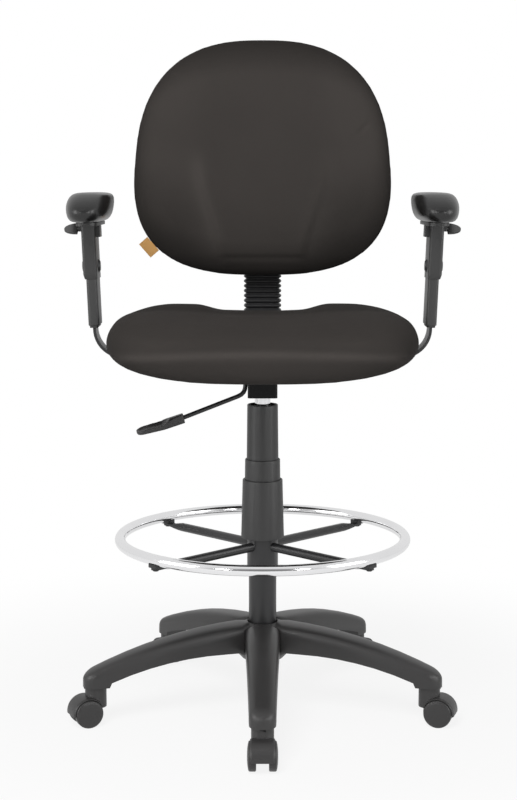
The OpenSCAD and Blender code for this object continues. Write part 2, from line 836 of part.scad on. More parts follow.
module caster_hood() {
    web = wheel_split - 2 * face_gap;
    end = wheel_split / 2 + wheel_w - wheel_edge;
    difference() {
        union() {
            // Cover over the treads, rounded towards both faces, open behind the neck
            above_skirt() intersection() {
                on_axle([for (t = [45:-15:0])
                    [end - hood_round * (sin(45) - sin(t)), hood_r - hood_round * (1 - cos(t))]]);
                translate([0, -big / 2, 0]) cube([big, big, big]);
            }
            // Neck under the leg, running down into the cover
            translate([0, 0, axle_z + neck_end]) cylinder(d = neck_d, h = caster_h - axle_z - neck_end);
            // Web between the wheels, with a boss round the axle
            above_skirt() across(2 * hood_r - hood_wall, web);
            across(axle_boss_d, web);
        }
        // Room for each wheel
        for (s = [0, 1]) mirror([0, s, 0]) translate([caster_trail, wheel_split / 2 - face_gap, axle_z])
            rotate([-90, 0, 0]) cylinder(r = wheel_r + 3 * face_gap, h = big);
        across(axle_d, big);
        translate([0, 0, caster_h - stem_grip]) cylinder(d = stem_d, h = stem_grip + stem_l);
    }
}

module caster_pins() {
    across(axle_d, wheel_split + 2 * (wheel_w - wheel_face - axle_end_gap));
    translate([0, 0, caster_h - stem_grip]) cylinder(d = stem_d, h = stem_l + stem_grip);
}

module caster_wheel(side) {
    bore_r = axle_d / 2 + run_fit;
    inner = wheel_w - wheel_face;
    translate([caster_trail, 0, axle_z]) mirror([0, side, 0]) rotate([-90, 0, 0])
        translate([0, 0, wheel_split / 2]) rotate_extrude() polygon([
            [bore_r, 0], [wheel_r - wheel_edge / 2, 0], [wheel_r, wheel_edge / 2],
            for (t = [0:22.5:67.5])
                [wheel_r - wheel_edge * (1 - cos(t)), wheel_w - wheel_edge * (1 - sin(t))],
            [wheel_r * 0.75, wheel_w + wheel_dome * 0.4], [wheel_r * 0.5, wheel_w + wheel_dome * 0.8],
            [wheel_r * 0.25, wheel_w + wheel_dome], [0, wheel_w + wheel_dome],
            [0, inner], [bore_r, inner]
        ]);
}

module hood_node(i) {
    color(plastic) at_caster(i) caster_hood();
}

module pins_node(i) {
    color(chrome) at_caster(i) caster_pins();
}

module wheel_node(i, side) {
    color(plastic) at_caster(i) caster_wheel(side);
}

// --- seat mechanism ------------------------------------------------------------------------------

module seat_mechanism() {
    body_d = mech_rear_y - mech_front_y;
    body_y = (mech_rear_y + mech_front_y) / 2;
    body_h = plate_z - mech_bottom_z;
    color(steel_black) difference() {
        union() {
            // Pressed channel, open at the rear
            difference() {
                translate([0, body_y, mech_bottom_z]) block(mech_w, body_d, body_h + eps, 6);
                translate([0, body_y + mech_wall, mech_bottom_z + mech_wall])
                    block(mech_w - 2 * mech_wall, body_d, body_h - mech_wall, 4);
            }
            translate([0, 0, plate_z]) block(plate_w, plate_d, plate_t - run_fit, 12);
            // Socket for the lift cylinder
            translate([0, 0, mech_bottom_z]) cylinder(r = rod_r + 6, h = rod_top_z - mech_bottom_z - 2);
            // Ears of the lever pivot
            for (s = [-1, 1]) translate([lever_pivot[0] - 6, s * 12 - 2.5, rod_top_z - 14])
                cube([12, 5, plate_z + 1 - rod_top_z + 14]);
            // Slideway of the back bar: a plate above it and one below
            for (z = [bar_z + bar_t / 2 + face_gap, bar_z - bar_t / 2 - face_gap - rail_t])
                translate([1 - mech_w / 2, rail_y, z]) cube([mech_w - 2, mech_rear_y - 8 - rail_y, rail_t]);
            // Boss of the depth screw
            translate([0, screw_y, mech_bottom_z])
                cylinder(d = bolt_d + 10, h = bar_z - bar_t / 2 - face_gap - mech_bottom_z);
        }
        translate([0, 0, head_z - 4]) cylinder(r = rod_r + run_fit, h = 4 + eps);
        translate([0, 0, head_z]) cylinder(r1 = rod_r + run_fit, r2 = head_r + run_fit, h = head_taper_l);
        // Way out for the lever
        translate([-mech_w, -9, rod_top_z - 3]) cube([mech_w, 18, plate_z - rod_top_z - 3]);
        translate(lever_pivot - [0, 30, 0]) rotate([-90, 0, 0]) cylinder(d = 6 + 2 * run_fit, h = 60);
        translate([0, screw_y, mech_bottom_z - 1])
            cylinder(d = bolt_d + 2 * run_fit, h = bar_z - mech_bottom_z + 1);
        for (p = plate_bolts) translate([p[0], p[1], plate_z - 1])
            cylinder(d = bolt_d + 2 * face_gap, h = plate_t + 2);
    }
}

// Route of the lever rod: out of the mechanism, down beside it, round a bend and out to the grip
lever_x = -(mech_w + lever_d) / 2 - face_gap * 2;
lever_root = [lever_x, 0, lever_pivot[2]];
lever_knee = [lever_x, -6, mech_bottom_z];
lever_end = [-139.5, -18, 535];
lever_bend = 14;
grip_dir = [-0.966, -0.07, -0.25];
grip_tip = lever_end + grip_dir * grip_l * 0.35;
lever_path = [
    lever_root,
    for (t = [0:0.25:1]) lever_knee
        + (1 - t) * (1 - t) * lever_bend * (lever_root - lever_knee) / norm(lever_root - lever_knee)
        + t * t * lever_bend * (grip_tip - lever_knee) / norm(grip_tip - lever_knee),
    grip_tip
];

module lift_lever() {
    color(steel_black) {
        // Tongue over the release pin, on its own cross pin
        translate([lever_pivot[0], -6, pin_top_z + tongue_gap]) cube([lever_reach + 3, 12, 5]);
        translate([lever_pivot[0], 0, lever_pivot[2]]) rotate([-90, 0, 0])
            translate([0, 0, -14]) cylinder(d = 6, h = 28);
        strut(lever_pivot + [2, 0, 0], lever_root, lever_d);
        for (i = [0:len(lever_path) - 2]) {
            translate(lever_path[i]) sphere(d = lever_d + 0.2);
            strut(lever_path[i], lever_path[i + 1], lever_d);
        }
    }
}

module lever_grip() {
    turn = atan2(-grip_dir[2], -grip_dir[0]);
    axis = (grip_tip - lever_path[5]) / norm(grip_tip - lever_path[5]);
    color(plastic) difference() {
        translate(lever_end) rotate([0, -turn, 0]) rotate([0, 0, 180 + 4]) rotate([-grip_twist, 0, 0])
            difference() {
                hull() {
                    translate([0, -grip_t / 2, -grip_t / 2]) rotate([grip_twist, 0, 0])
                        cube([2, grip_t, grip_t]);
                    translate([grip_l * 0.45, -grip_w / 2 + 2, -6]) cube([2, grip_w - 4, 10]);
                    translate([grip_l - grip_w / 2, 0, -4]) cylinder(d = grip_w, h = 7, $fn = 32);
                }
                // Hollow for the fingers
                translate([grip_l * 0.5, 0, 3 + dish_r - dish_depth]) rotate([0, 90, 0])
                    cylinder(r = dish_r, h = grip_l * 0.5 - grip_w * 0.45);
                for (x = [grip_l * 0.5, grip_l - grip_w * 0.45])
                    translate([x, 0, 3 + dish_r - dish_depth]) sphere(r = dish_r);
            }
        strut(lever_path[5], grip_tip + axis * 0.5, lever_d + 2 * run_fit);
    }
}

// --- seat ----------------------------------------------------------------------------------------

module seat_board() {
    color([0.75, 0.6, 0.42]) translate([0, 0, board_z]) difference() {
        translate([0, seat_mid_y, 0]) block(board_w, board_d, board_t, board_corner);
        for (p = plate_bolts) translate([p[0], p[1], -1])
            cylinder(d = bolt_d + 2 * face_gap, h = board_t + 2);
        for (s = [-1, 1], x = strap_bolts_x) translate([s * x, 0, -1])
            cylinder(d = bolt_d + 2 * face_gap, h = board_t + 2);
    }
}

// 0 below low, 1 above high, and a smooth ramp between them
function ramp(v, low, high) = let (t = min(1, max(0, (v - low) / (high - low)))) t * t * (3 - 2 * t);

// Height of the seat top over a point of its plan
function seat_top(x, y) =
    let (u = abs(x) / (seat_w / 2), v = (seat_mid_y - y) / (seat_d / 2))
        seat_top_z + bolster_rise * pow(u * 1.5, 2) / (1 + pow(u * 1.5, 2)) * (1 - max(0, v))
        + lobe_rise * ramp(u, 0.26, 0.46) * (1 - ramp(u, 0.6, 1)) * ramp(-v, 0.15, 0.6)
        - front_fall * pow(max(0, v), 2);

// Height of its underside, which dips at the front roll
function seat_under(x, y) =
    let (v = max(0, (seat_mid_y - y) / (seat_d / 2) - 0.35) / 0.65)
        board_z - front_roll * pow(v, 1.5);

// Ring of the seat surface, inset from the outline, at a share h of the thickness
function seat_ring(inset, h) = [
    for (a = [0:9:351])
        let (
            x = (seat_w / 2 - inset) * spow(cos(a), 2 / seat_square),
            y = seat_mid_y + (seat_d / 2 - inset) * spow(sin(a), 2 / seat_square)
        ) [x, y, seat_under(x, y) + h * (seat_top(x, y) - seat_under(x, y))]
];

module seat_cushion() {
    profile = [
        [seat_edge, 0], [seat_edge * 0.5, 0.01], [seat_edge * 0.2, 0.1], [0, 0.3], [0, 0.5],
        [seat_edge * 0.12, 0.7], [seat_edge * 0.42, 0.87], [seat_edge * 0.95, 0.96],
        [seat_edge * 2, 1], [seat_edge * 3, 1], [seat_edge * 4, 1], [seat_edge * 5, 1]
    ];
    color(fabric) difference() {
        loft([for (p = profile) seat_ring(p[0], p[1])]);
        translate([0, seat_mid_y, board_z - board_inset]) block(
            board_w + 2 * face_gap, board_d + 2 * face_gap, board_inset + board_t + face_gap,
            board_corner + face_gap
        );
    }
}

module seat_bolts() {
    color(steel_black) {
        for (p = plate_bolts) translate([p[0], p[1], 0]) {
            translate([0, 0, plate_z - bolt_head_h]) cylinder(d = bolt_head_d, h = bolt_head_h - run_fit);
            translate([0, 0, plate_z - 1]) cylinder(d = bolt_d, h = plate_t + board_t - 1);
        }
        for (s = [-1, 1], x = strap_bolts_x) translate([s * x, 0, 0]) {
            translate([0, 0, strap_z - strap_t / 2 - bolt_head_h])
                cylinder(d = bolt_head_d, h = bolt_head_h - run_fit);
            translate([0, 0, strap_z - strap_t / 2 - 1]) cylinder(d = bolt_d, h = strap_t + board_t - 1);
        }
    }
}

// --- arms, drawn for the sitter's +X side and mirrored for the other ------------------------------

// Frame of the leaning upright: origin at its foot, +Z along it
module at_upright() {
    translate([foot_x, 0, foot_z]) rotate([0, arm_lean, 0]) children();
}

module arm_strap() {
    color(steel_black) difference() {
        translate([0, strap_w / 2, strap_z]) rotate([90, 0, 0]) linear_extrude(strap_w)
            bent_bar(strap_in_x, upright_x, strap_bend_r, strap_t, post_top - 6, arm_lean);
        for (x = strap_bolts_x) translate([x, 0, strap_z - strap_t])
            cylinder(d = bolt_d + 2 * face_gap, h = 2 * strap_t);
    }
}

module arm_post() {
    color(plastic) at_upright() difference() {
        union() {
            translate([0, 0, post_base + 4]) block(post_w, post_d, post_l - 4, 5);
            translate([0, 0, post_base]) block(post_w - 4, post_d - 4, 4 + eps, 4);
        }
        translate([0, 0, post_base - 1]) linear_extrude(post_top - 6 - post_base + 1 + face_gap)
            square([strap_t + 2 * run_fit, strap_w + 2 * run_fit], center = true);
    }
}

// Bevel of one lower edge of the sleeve: the wall on the +x side, whose face lies at x = face,
// thins from there down to lip_wall outside the bore's half width
module sleeve_bevel(face, bore, length)
    translate([0, 0, sleeve_low_z]) rotate([90, 0, 0])
        linear_extrude(length, center = true) polygon([
            [bore + lip_wall, 0], [bore + lip_wall, -1], [face + 1, -1],
            [face + 1, sleeve_taper], [face, sleeve_taper]
        ]);

module arm_sleeve() {
    side_x = sleeve_w / 2;
    color(plastic) {
        at_upright() difference() {
            union() {
                translate([sleeve_shift, 0, sleeve_low_z])
                    block(sleeve_w, sleeve_d, ceiling + roof_t - sleeve_low_z, sleeve_corner);
                // Round bosses of the lock on both sides, just above the bevels
                for (s = [-1, 1])
                    translate([sleeve_shift + s * (side_x - eps), 0, boss_z])
                        rotate([0, s * 90, 0]) cylinder(d1 = boss_d, d2 = boss_d - 2 * boss_t, h = boss_t);
                // Ears of the paddle
                for (s = [-1, 1]) translate([
                    side_x + sleeve_shift - 1, s * ear_y - ear_t / 2, paddle_pivot[2] - ear_half
                ]) cube([ear_out + 1, ear_t, 2 * ear_half]);
                // Gusset under the plate on the inner side
                translate([sleeve_shift - side_x - gusset_t, -gusset_w / 2, ceiling - gusset_h])
                    cube([gusset_t + 1, gusset_w, gusset_h + roof_t / 2]);
            }
            translate([0, 0, sleeve_low_z - 1])
                block(post_w + 2 * face_gap, post_d + 2 * face_gap, ceiling - sleeve_low_z + 1, 5);
            translate(paddle_pivot - [0, 2 * ear_y, 0]) rotate([-90, 0, 0])
                cylinder(d = hinge_d + 2 * run_fit, h = 4 * ear_y);
            // The inner wall is thin already, so only the outer side and both ends are bevelled
            sleeve_bevel(side_x + sleeve_shift, post_w / 2 + face_gap, sleeve_d + 2);
            for (a = [-90, 90]) translate([sleeve_shift, 0, 0]) rotate(a)
                sleeve_bevel(sleeve_d / 2, post_d / 2 + face_gap, sleeve_w + 2);
        }
        translate([pad_x, pad_y, pad_plate_z - 1])
            block(pad_w - plate_side, pad_l - plate_ends, pad_plate_t + 1, plate_corner);
    }
}

// Ring of the pad surface, inset from its outline, at a share h of its thickness. The lip leans
// outward and down, and the top and the underside stay level.
function pad_ring(inset, h) = [
    for (a = [0:15:345])
        let (
            x = (pad_w / 2 - inset) * spow(cos(a), 0.8),
            y = (pad_l / 2 - inset) * spow(sin(a), 0.62)
        ) [pad_x + x, pad_y + y, pad_z + h * pad_t - pad_roll * 4 * h * (1 - h) * x]
];

module arm_pad() {
    profile = [[14, 0], [4, 0.12], [0, 0.35], [1, 0.6], [6, 0.82], [15, 0.95], [28, 1]];
    color(rubber) loft([for (p = profile) pad_ring(p[0], p[1])]);
}

module arm_paddle() {
    reach = paddle_l - paddle_start;
    color(plastic) at_upright() translate(paddle_pivot) {
        rotate([90, 0, 0]) translate([0, 0, -ear_y - ear_t / 2])
            cylinder(d = hinge_d, h = 2 * ear_y + ear_t);
        // Leaf: half an oval, its straight side towards the sleeve
        rotate([paddle_slope, 0, 0]) translate([paddle_start, 0, -paddle_t / 2]) linear_extrude(paddle_t)
            polygon([for (a = [-90:7.5:90]) [reach * cos(a), paddle_w / 2 * sin(a)]]);
        translate([0, -ear_y + ear_t / 2 + 1, -paddle_t / 2])
            cube([paddle_start + 2, 2 * ear_y - ear_t - 2, paddle_t]);
    }
}

// --- back ----------------------------------------------------------------------------------------

// Rearward shift of the reclined back at height z
function back_tilt_shift(z) = (z - back_bottom_z) * tan(back_tilt);

module back_bar() {
    color(steel_black) translate([-bar_w / 2, 0, bar_z]) rotate([90, 0, 90]) linear_extrude(bar_w)
        bent_bar(bar_front_y, bar_y - bar_bend_r, bar_bend_r, bar_t, bar_top_z - bar_z - bar_bend_r, 0);
}

module back_bellows() {
    count = floor((bellows_top_z - bellows_z - 8) / bellows_pitch);
    color(rubber) translate([0, bar_y, 0]) difference() {
        union() {
            translate([0, 0, bellows_z]) block(bellows_w, bellows_d, bellows_top_z - bellows_z, 6);
            for (i = [0:count]) translate([0, 0, bellows_z + 1 + i * bellows_pitch])
                block(bellows_w + 2 * bellows_rib, bellows_d + 2 * bellows_rib, bellows_pitch * 0.55, 8);
        }
        translate([0, 0, bellows_z - 1])
            block(bar_w + 4, bar_t + 6, bellows_top_z - bellows_z + 2, 4);
    }
}

// Ring of the back outline, scaled about its middle, laid on the curved and reclined mid surface
function back_ring(inset, depth) = [
    for (a = [0:9:351])
        let (
            n = sin(a) > 0 ? 2.6 : 2.75,
            v = spow(sin(a), 2 / n),
            x = (back_w / 2 - inset) * spow(cos(a), 2 / n) * (1 - 0.08 * v) / 1.005,
            z = back_mid_z + (back_h / 2 - inset) * v
        ) [x, back_y + back_tilt_shift(z) - back_wrap * pow(x / (back_w / 2), 2) + depth, z]
];

module back_board() {
    front = board_back - back_board_t;
    profile = [
        [core_inset, board_back], [flat_inset, board_back], [back_board_inset, board_back],
        [back_board_inset, front], [flat_inset, front], [core_inset, front]
    ];
    color([0.75, 0.6, 0.42]) loft([for (p = profile) back_ring(p[0], p[1])]);
}

// Foam and cover, with a pocket at the rear for the board
module back_cushion() {
    pocket = board_back - back_board_t - face_gap;
    front = -back_pad_t;
    profile = [
        [core_inset, pocket], [flat_inset, pocket], [back_board_inset - face_gap, pocket],
        [back_board_inset - face_gap, board_back], [14, board_back], [5, 4], [0, -4],
        [1, front + 28], [6, front + 17], [17, front + 8], [38, front + 2],
        [90, front], [150, front], [core_inset, front]
    ];
    color(fabric) loft([for (p = profile) back_ring(p[0], p[1])]);
}

module back_shell() {
    back = shell_front + shell_depth;
    profile = [
        [core_inset, back], [flat_inset, back], [60, back - 1], [34, back - 4],
        [18, shell_front + shell_depth * 0.45], [12, shell_front],
        [12 + shell_wall, shell_front], [20 + shell_wall, shell_front + shell_depth * 0.45 - shell_wall],
        [36, back - 4 - shell_wall], [60, back - 1 - shell_wall],
        [flat_inset, back - shell_wall], [core_inset, back - shell_wall]
    ];
    color(plastic) loft([for (p = profile) back_ring(p[0], p[1])]);
}

module back_carrier() {
    front_y = back_y + shell_front + shell_depth;
    depth = carrier_back_y - front_y;
    color(plastic) difference() {
        translate([0, front_y + depth / 2, carrier_z]) block(carrier_w, depth, carrier_h, 8);
        // Face laid back with the shell it carries
        translate([0, front_y + face_gap, back_bottom_z]) rotate([-back_tilt, 0, 0])
            translate([-big / 2, -big, -big / 2]) cube([big, big, big]);
        translate([0, bar_y, carrier_z - 1]) linear_extrude(carrier_h + 2)
            square([bar_w + 2 * face_gap, bar_t + 2 * face_gap], center = true);
        translate([0, bar_y, back_knob_z]) rotate([-90, 0, 0])
            cylinder(d = bolt_d + 2 * run_fit, h = 60);
    }
}

module back_knob() {
    tip_y = bar_y + bar_t / 2 + face_gap;
    color(plastic) translate([0, 0, back_knob_z]) rotate([-90, 0, 0]) {
        translate([0, 0, tip_y]) cylinder(d = bolt_d, h = carrier_back_y - tip_y + 4);
        translate([0, 0, carrier_back_y + face_gap]) knob(knob_d, 20);
    }
}

module depth_knob() {
    screw_top = bar_z - bar_t / 2 - face_gap;
    color(plastic) translate([0, screw_y, 0]) {
        translate([0, 0, mech_bottom_z - 4]) cylinder(d = bolt_d, h = screw_top - mech_bottom_z + 4);
        translate([0, 0, mech_bottom_z - face_gap]) mirror([0, 0, 1]) knob(knob_d, 20);
    }
}

// Blank tag sewn into the side seam, its inner edge along one side of the widest ring
module cloth_tag() {
    seam = back_ring(0, -4);
    p = seam[tag_place];
    q = seam[tag_place + 1];
    color([0.72, 0.5, 0.3]) translate((p + q) / 2) rotate([0, -atan2(q[2] - p[2], q[0] - p[0]), 0])
        translate([-tag_l / 2, -0.5, -face_gap - tag_w]) cube([tag_l, 1, tag_w]);
}

star_base();
column_tube();
base_clip();
thrust_bearing();
piston_rod();
guide_bush();
cover_lower();
cover_middle();
cover_upper();
pressure_cylinder();
release_pin();
foot_ring();
ring_spider();
ring_fixings();
ring_clamp_knob();
hood_node(0);  // caster_1_hood
pins_node(0);  // caster_1_pins
wheel_node(0, 0);  // caster_1_left_wheel
wheel_node(0, 1);  // caster_1_right_wheel
hood_node(1);  // caster_2_hood
pins_node(1);  // caster_2_pins
wheel_node(1, 0);  // caster_2_left_wheel
wheel_node(1, 1);  // caster_2_right_wheel
hood_node(2);  // caster_3_hood
pins_node(2);  // caster_3_pins
wheel_node(2, 0);  // caster_3_left_wheel
wheel_node(2, 1);  // caster_3_right_wheel
hood_node(3);  // caster_4_hood
pins_node(3);  // caster_4_pins
wheel_node(3, 0);  // caster_4_left_wheel
wheel_node(3, 1);  // caster_4_right_wheel
hood_node(4);  // caster_5_hood
pins_node(4);  // caster_5_pins
wheel_node(4, 0);  // caster_5_left_wheel
wheel_node(4, 1);  // caster_5_right_wheel
seat_mechanism();
lift_lever();
lever_grip();
seat_board();
seat_cushion();
seat_bolts();
mirror([1, 0, 0]) arm_strap();  // left_arm_strap
arm_strap();  // right_arm_strap
mirror([1, 0, 0]) arm_post();  // left_arm_post
arm_post();  // right_arm_post
mirror([1, 0, 0]) arm_sleeve();  // left_arm_sleeve
arm_sleeve();  // right_arm_sleeve
mirror([1, 0, 0]) arm_pad();  // left_arm_pad
arm_pad();  // right_arm_pad
mirror([1, 0, 0]) arm_paddle();  // left_arm_paddle
arm_paddle();  // right_arm_paddle
back_bar();
back_bellows();
back_carrier();
back_shell();
back_board();
back_cushion();
back_knob();
depth_knob();
cloth_tag();
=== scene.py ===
# %% [markdown]
# # A drafting chair, dressed in Blender
#
# The chair is packed already: every rigid piece has its real size and place, and moves on its joint.
# This lesson gives it its looks. The soft parts are made anew as padded forms, the moulded parts get
# rounded edges, and every surface gets a finish made of nodes. All numbers are metres, +Z is up,
# and the sitter faces -Y.

import json
import math

import bmesh
import bpy
import numpy as np
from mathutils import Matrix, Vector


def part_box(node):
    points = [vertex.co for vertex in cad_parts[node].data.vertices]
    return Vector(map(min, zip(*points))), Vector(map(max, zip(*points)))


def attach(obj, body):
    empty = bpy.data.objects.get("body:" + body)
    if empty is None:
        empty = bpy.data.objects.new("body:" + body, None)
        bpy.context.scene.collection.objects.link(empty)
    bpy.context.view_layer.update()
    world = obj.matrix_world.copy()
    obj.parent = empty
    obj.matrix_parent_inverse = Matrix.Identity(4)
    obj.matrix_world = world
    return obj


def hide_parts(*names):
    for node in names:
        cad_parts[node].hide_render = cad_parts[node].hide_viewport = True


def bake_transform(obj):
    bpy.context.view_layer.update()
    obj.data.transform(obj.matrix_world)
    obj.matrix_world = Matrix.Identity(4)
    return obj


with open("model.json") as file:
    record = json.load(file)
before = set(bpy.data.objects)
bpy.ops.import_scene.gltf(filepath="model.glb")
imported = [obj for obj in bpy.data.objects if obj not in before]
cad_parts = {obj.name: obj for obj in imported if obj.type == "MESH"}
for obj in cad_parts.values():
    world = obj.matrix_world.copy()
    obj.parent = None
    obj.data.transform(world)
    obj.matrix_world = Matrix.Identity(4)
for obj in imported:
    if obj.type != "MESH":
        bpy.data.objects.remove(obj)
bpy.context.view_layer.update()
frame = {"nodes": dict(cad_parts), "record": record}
scene = bpy.context.scene

# %% [markdown]
# ## Shader maths that reads like maths
#
# A finish is a small tree of nodes. Wiring one Math node after another hides the idea, so one class
# wraps a node's output and overloads + - * /: `1 - mask` adds a Math node by itself.


# %% Signals
class Signal:
    """One output of a node. Arithmetic on it adds Math nodes to the same tree."""

    def __init__(self, owner, socket):
        self.owner = owner
        self.socket = socket

    def maths(self, operation, *values):
        inputs = dict(enumerate(values))
        return self.owner.node("ShaderNodeMath", {"operation": operation}, inputs)

    def __add__(self, other):
        return self.maths("ADD", self, other)

    def __sub__(self, other):
        return self.maths("SUBTRACT", self, other)

    def __rsub__(self, other):
        return self.maths("SUBTRACT", other, self)

    def __mul__(self, other):
        return self.maths("MULTIPLY", self, other)

    def __truediv__(self, other):
        return self.maths("DIVIDE", self, other)

    __radd__ = __add__
    __rmul__ = __mul__

    def sin(self):
        return self.maths("SINE", self)

    def root(self):
        return self.maths("SQRT", self)

    def step(self, low, high):
        """0 below low, 1 above high, and a smooth ramp between them."""
        settings = {"interpolation_type": "SMOOTHSTEP"}
        inputs = {"Value": self, "From Min": low, "From Max": high}
        return self.owner.node("ShaderNodeMapRange", settings, inputs)


print("signals add, subtract, multiply and divide as Math nodes")

# %% [markdown]
# ## One way to add a node
#
# Every other node comes from a single method that takes its type, its settings and what goes into
# its sockets. The studio's walls and every finish are such trees; a finish also holds the shader
# that nearly all real surfaces can be described with.


# %% Trees and finishes
class NodeTree:
    """A cleared tree of nodes that ends in an output of that kind."""

    def __init__(self, tree, output):
        self.tree = tree
        tree.nodes.clear()
        self.output = tree.nodes.new(output)

    def show(self, shader):
        """Makes that shader the one that is seen."""
        self.tree.links.new(shader.socket, self.output.inputs[0])

    def node(self, kind, settings=None, inputs=None, output=0):
        """Adds a node of that kind: its settings first, then a value or a link for each socket."""
        made = self.tree.nodes.new(kind)
        for key, value in (settings or {}).items():
            setattr(made, key, value)
        for key, value in (inputs or {}).items():
            if isinstance(value, Signal):
                self.tree.links.new(value.socket, made.inputs[key])
            else:
                made.inputs[key].default_value = value
        return Signal(self, made.outputs[output])

    def place(self, kind="Object"):
        return self.node("ShaderNodeTexCoord", output=kind)

    def ray(self, kind):
        """1 for rays of that kind and 0 for the others."""
        return self.node("ShaderNodeLightPath", output=kind)

    def parts(self, vector):
        settings, inputs = {}, {"Vector": vector}
        return [self.node("ShaderNodeSeparateXYZ", settings, inputs, i) for i in range(3)]

    def noise(self, scale, detail=2.0, stretch=None):
        """Noise of that scale, in waves a metre, stretched along the axes where that is asked."""
        at = self.place()
        if stretch:
            at = self.node("ShaderNodeMapping", {}, {"Vector": at, "Scale": stretch})
        return self.node("ShaderNodeTexNoise", {}, {"Vector": at, "Scale": scale, "Detail": detail})

    def mix(self, share, first, second):
        """A colour between first and second."""
        first, second = ((*c, 1.0) if isinstance(c, tuple) else c for c in (first, second))
        return self.node("ShaderNodeMix", {"data_type": "RGBA"}, {0: share, 6: first, 7: second}, 2)

    def layered(self, share, first, second):
        """A shader between first and second."""
        return self.node("ShaderNodeMixShader", {}, {0: share, 1: first, 2: second})


class Finish(NodeTree):
    """A material on the Principled shader, with the inputs that stay the same all over it."""

    def __init__(self, name, **constants):
        self.material = bpy.data.materials.new(name)
        self.material.use_nodes = True
        super().__init__(self.material.node_tree, "ShaderNodeOutputMaterial")
        self.shader = self.tree.nodes.new("ShaderNodeBsdfPrincipled")
        self.surface = Signal(self, self.shader.outputs[0])
        self.show(self.surface)
        self.set(**constants)

    def set(self, **inputs):
        """Sets inputs of the shader, written with _ for the blanks in their names."""
        for key, value in inputs.items():
            socket = self.shader.inputs[key.replace("_", " ")]
            if isinstance(value, Signal):
                self.tree.links.new(value.socket, socket)
            elif socket.type == "RGBA":
                socket.default_value = (*value, 1.0)
            else:
                socket.default_value = value

    def relief(self, height, depth, strength=1.0):
        """Bumps of that depth in metres, from a height between 0 and 1."""
        inputs = {"Height": height, "Distance": depth, "Strength": strength}
        self.set(Normal=self.node("ShaderNodeBump", {}, inputs))


print("a finish sets the shader by name, such as Roughness or Coat_Weight")

# %% [markdown]
# ## Camera
#
# The chair is seen from the front, a little above the seat and tilted down by under 8 degrees. A
# wide lens close by would spread the legs and shrink the back, so a long one is used from nearly
# three metres, and verticals hardly converge.

# %% Camera
camera = bpy.data.objects.new("camera", bpy.data.cameras.new("camera"))
scene.collection.objects.link(camera)
scene.camera = camera
PITCH = math.radians(7.67)
camera.location = (0, -2.875, 0.9545)
camera.rotation_euler = (math.pi / 2 - PITCH, 0, 0)
camera.data.sensor_width = 36
camera.data.lens = 72.9
camera.data.shift_x = -0.0051
camera.data.clip_start = 0.05
scene.view_settings.view_transform = "Standard"
print("lens:", camera.data.lens, "mm")

# %% [markdown]
# ## Lamps
#
# Black goods are lit in two ways at once. Cloth needs light that falls on it: a high key lamp at the
# left and a weak fill in front. Smooth plastic and chrome need something bright to mirror: two large
# panels at the sides brighten their edges, and two small ones in front leave the short lights on the
# lips of the arm pads. So the first pair is hidden from mirrors, and the panels give no other light.

# %% Lamps


def softbox(name, place, target, breadth, power):
    """A square lamp at a place, facing a target."""
    lamp = bpy.data.lights.new(name, "AREA")
    lamp.shape = "SQUARE"
    lamp.size = breadth
    lamp.energy = power
    box = bpy.data.objects.new(name, lamp)
    scene.collection.objects.link(box)
    box.location = place
    towards = np.array(target, float) - np.array(place, float)
    box.rotation_euler = Vector(towards).to_track_quat("-Z", "Y").to_euler()
    return box


LAMPS = (
    softbox("key_softbox", (-0.75, -2.4, 2.95), (0, 0, 0.8), 1.6, 92),
    softbox("fill_softbox", (0.4, -4.4, 1.2), (0, 0, 0.7), 2.4, 42),
)
PANELS = (
    softbox("left_side_panel", (-2.7, -1.2, 1.1), (0, 0, 0.6), 1.6, 26),
    softbox("right_side_panel", (2.7, -1.2, 1.1), (0, 0, 0.6), 1.6, 26),
    softbox("left_front_panel", (-1.5, -2.7, 1.1), (0, 0, 0.9), 0.45, 10),
    softbox("right_front_panel", (1.5, -2.7, 1.1), (0, 0, 0.9), 0.45, 10),
)
for lamp in LAMPS:
    lamp.visible_glossy = False
for panel in PANELS:
    panel.visible_diffuse = False
print("lamps:", len(LAMPS), "panels:", len(PANELS))

# %% [markdown]
# ## The tent
#
# White walls all round make the plain background. A wall bright enough to look white would flood
# black cloth with light, so the world has a strength of its own for each kind of ray. In mirrors the
# tent stands open behind the camera, which is what draws the dark line along the chrome ring and the
# dark middle down each leg.

# %% Tent
SEEN = 1.0  # strength of the walls as the camera sees them
MIRRORED = 0.8  # the same in mirrors
SHADED = 0.25  # the same in mirrors, in the opening behind the camera
GIVEN = 0.16  # strength with which the walls light the chair
TO_CAMERA = (0, -0.995, 0.1)
FULLY_OPEN, FULLY_CLOSED = math.radians(20), math.radians(50)

world = bpy.data.worlds.new("tent")
scene.world = world
world.use_nodes = True
tent = NodeTree(world.node_tree, "ShaderNodeOutputWorld")


def wall(strength):
    """White walls of that strength."""
    return tent.node("ShaderNodeBackground", {}, {"Color": (1, 1, 1, 1), "Strength": strength})


axes = {0: tent.place("Generated"), 1: TO_CAMERA}
facing = tent.node("ShaderNodeVectorMath", {"operation": "DOT_PRODUCT"}, axes, "Value")
opening = facing.step(math.cos(FULLY_CLOSED), math.cos(FULLY_OPEN))
walls = wall(MIRRORED - opening * (MIRRORED - SHADED))
walls = tent.layered(tent.ray("Is Glossy Ray"), wall(GIVEN), walls)
walls = tent.layered(tent.ray("Is Transmission Ray"), walls, wall(SEEN))
walls = tent.layered(tent.ray("Is Camera Ray"), walls, wall(SEEN))
tent.show(walls)
print("tent:", len(tent.tree.nodes), "nodes")

# %% [markdown]
# ## Floor
#
# A pale painted floor carries the shadow of the base. Paint alone would end in a grey horizon, so
# for the camera it glows, a little less under the chair than further out, and melts into the walls.

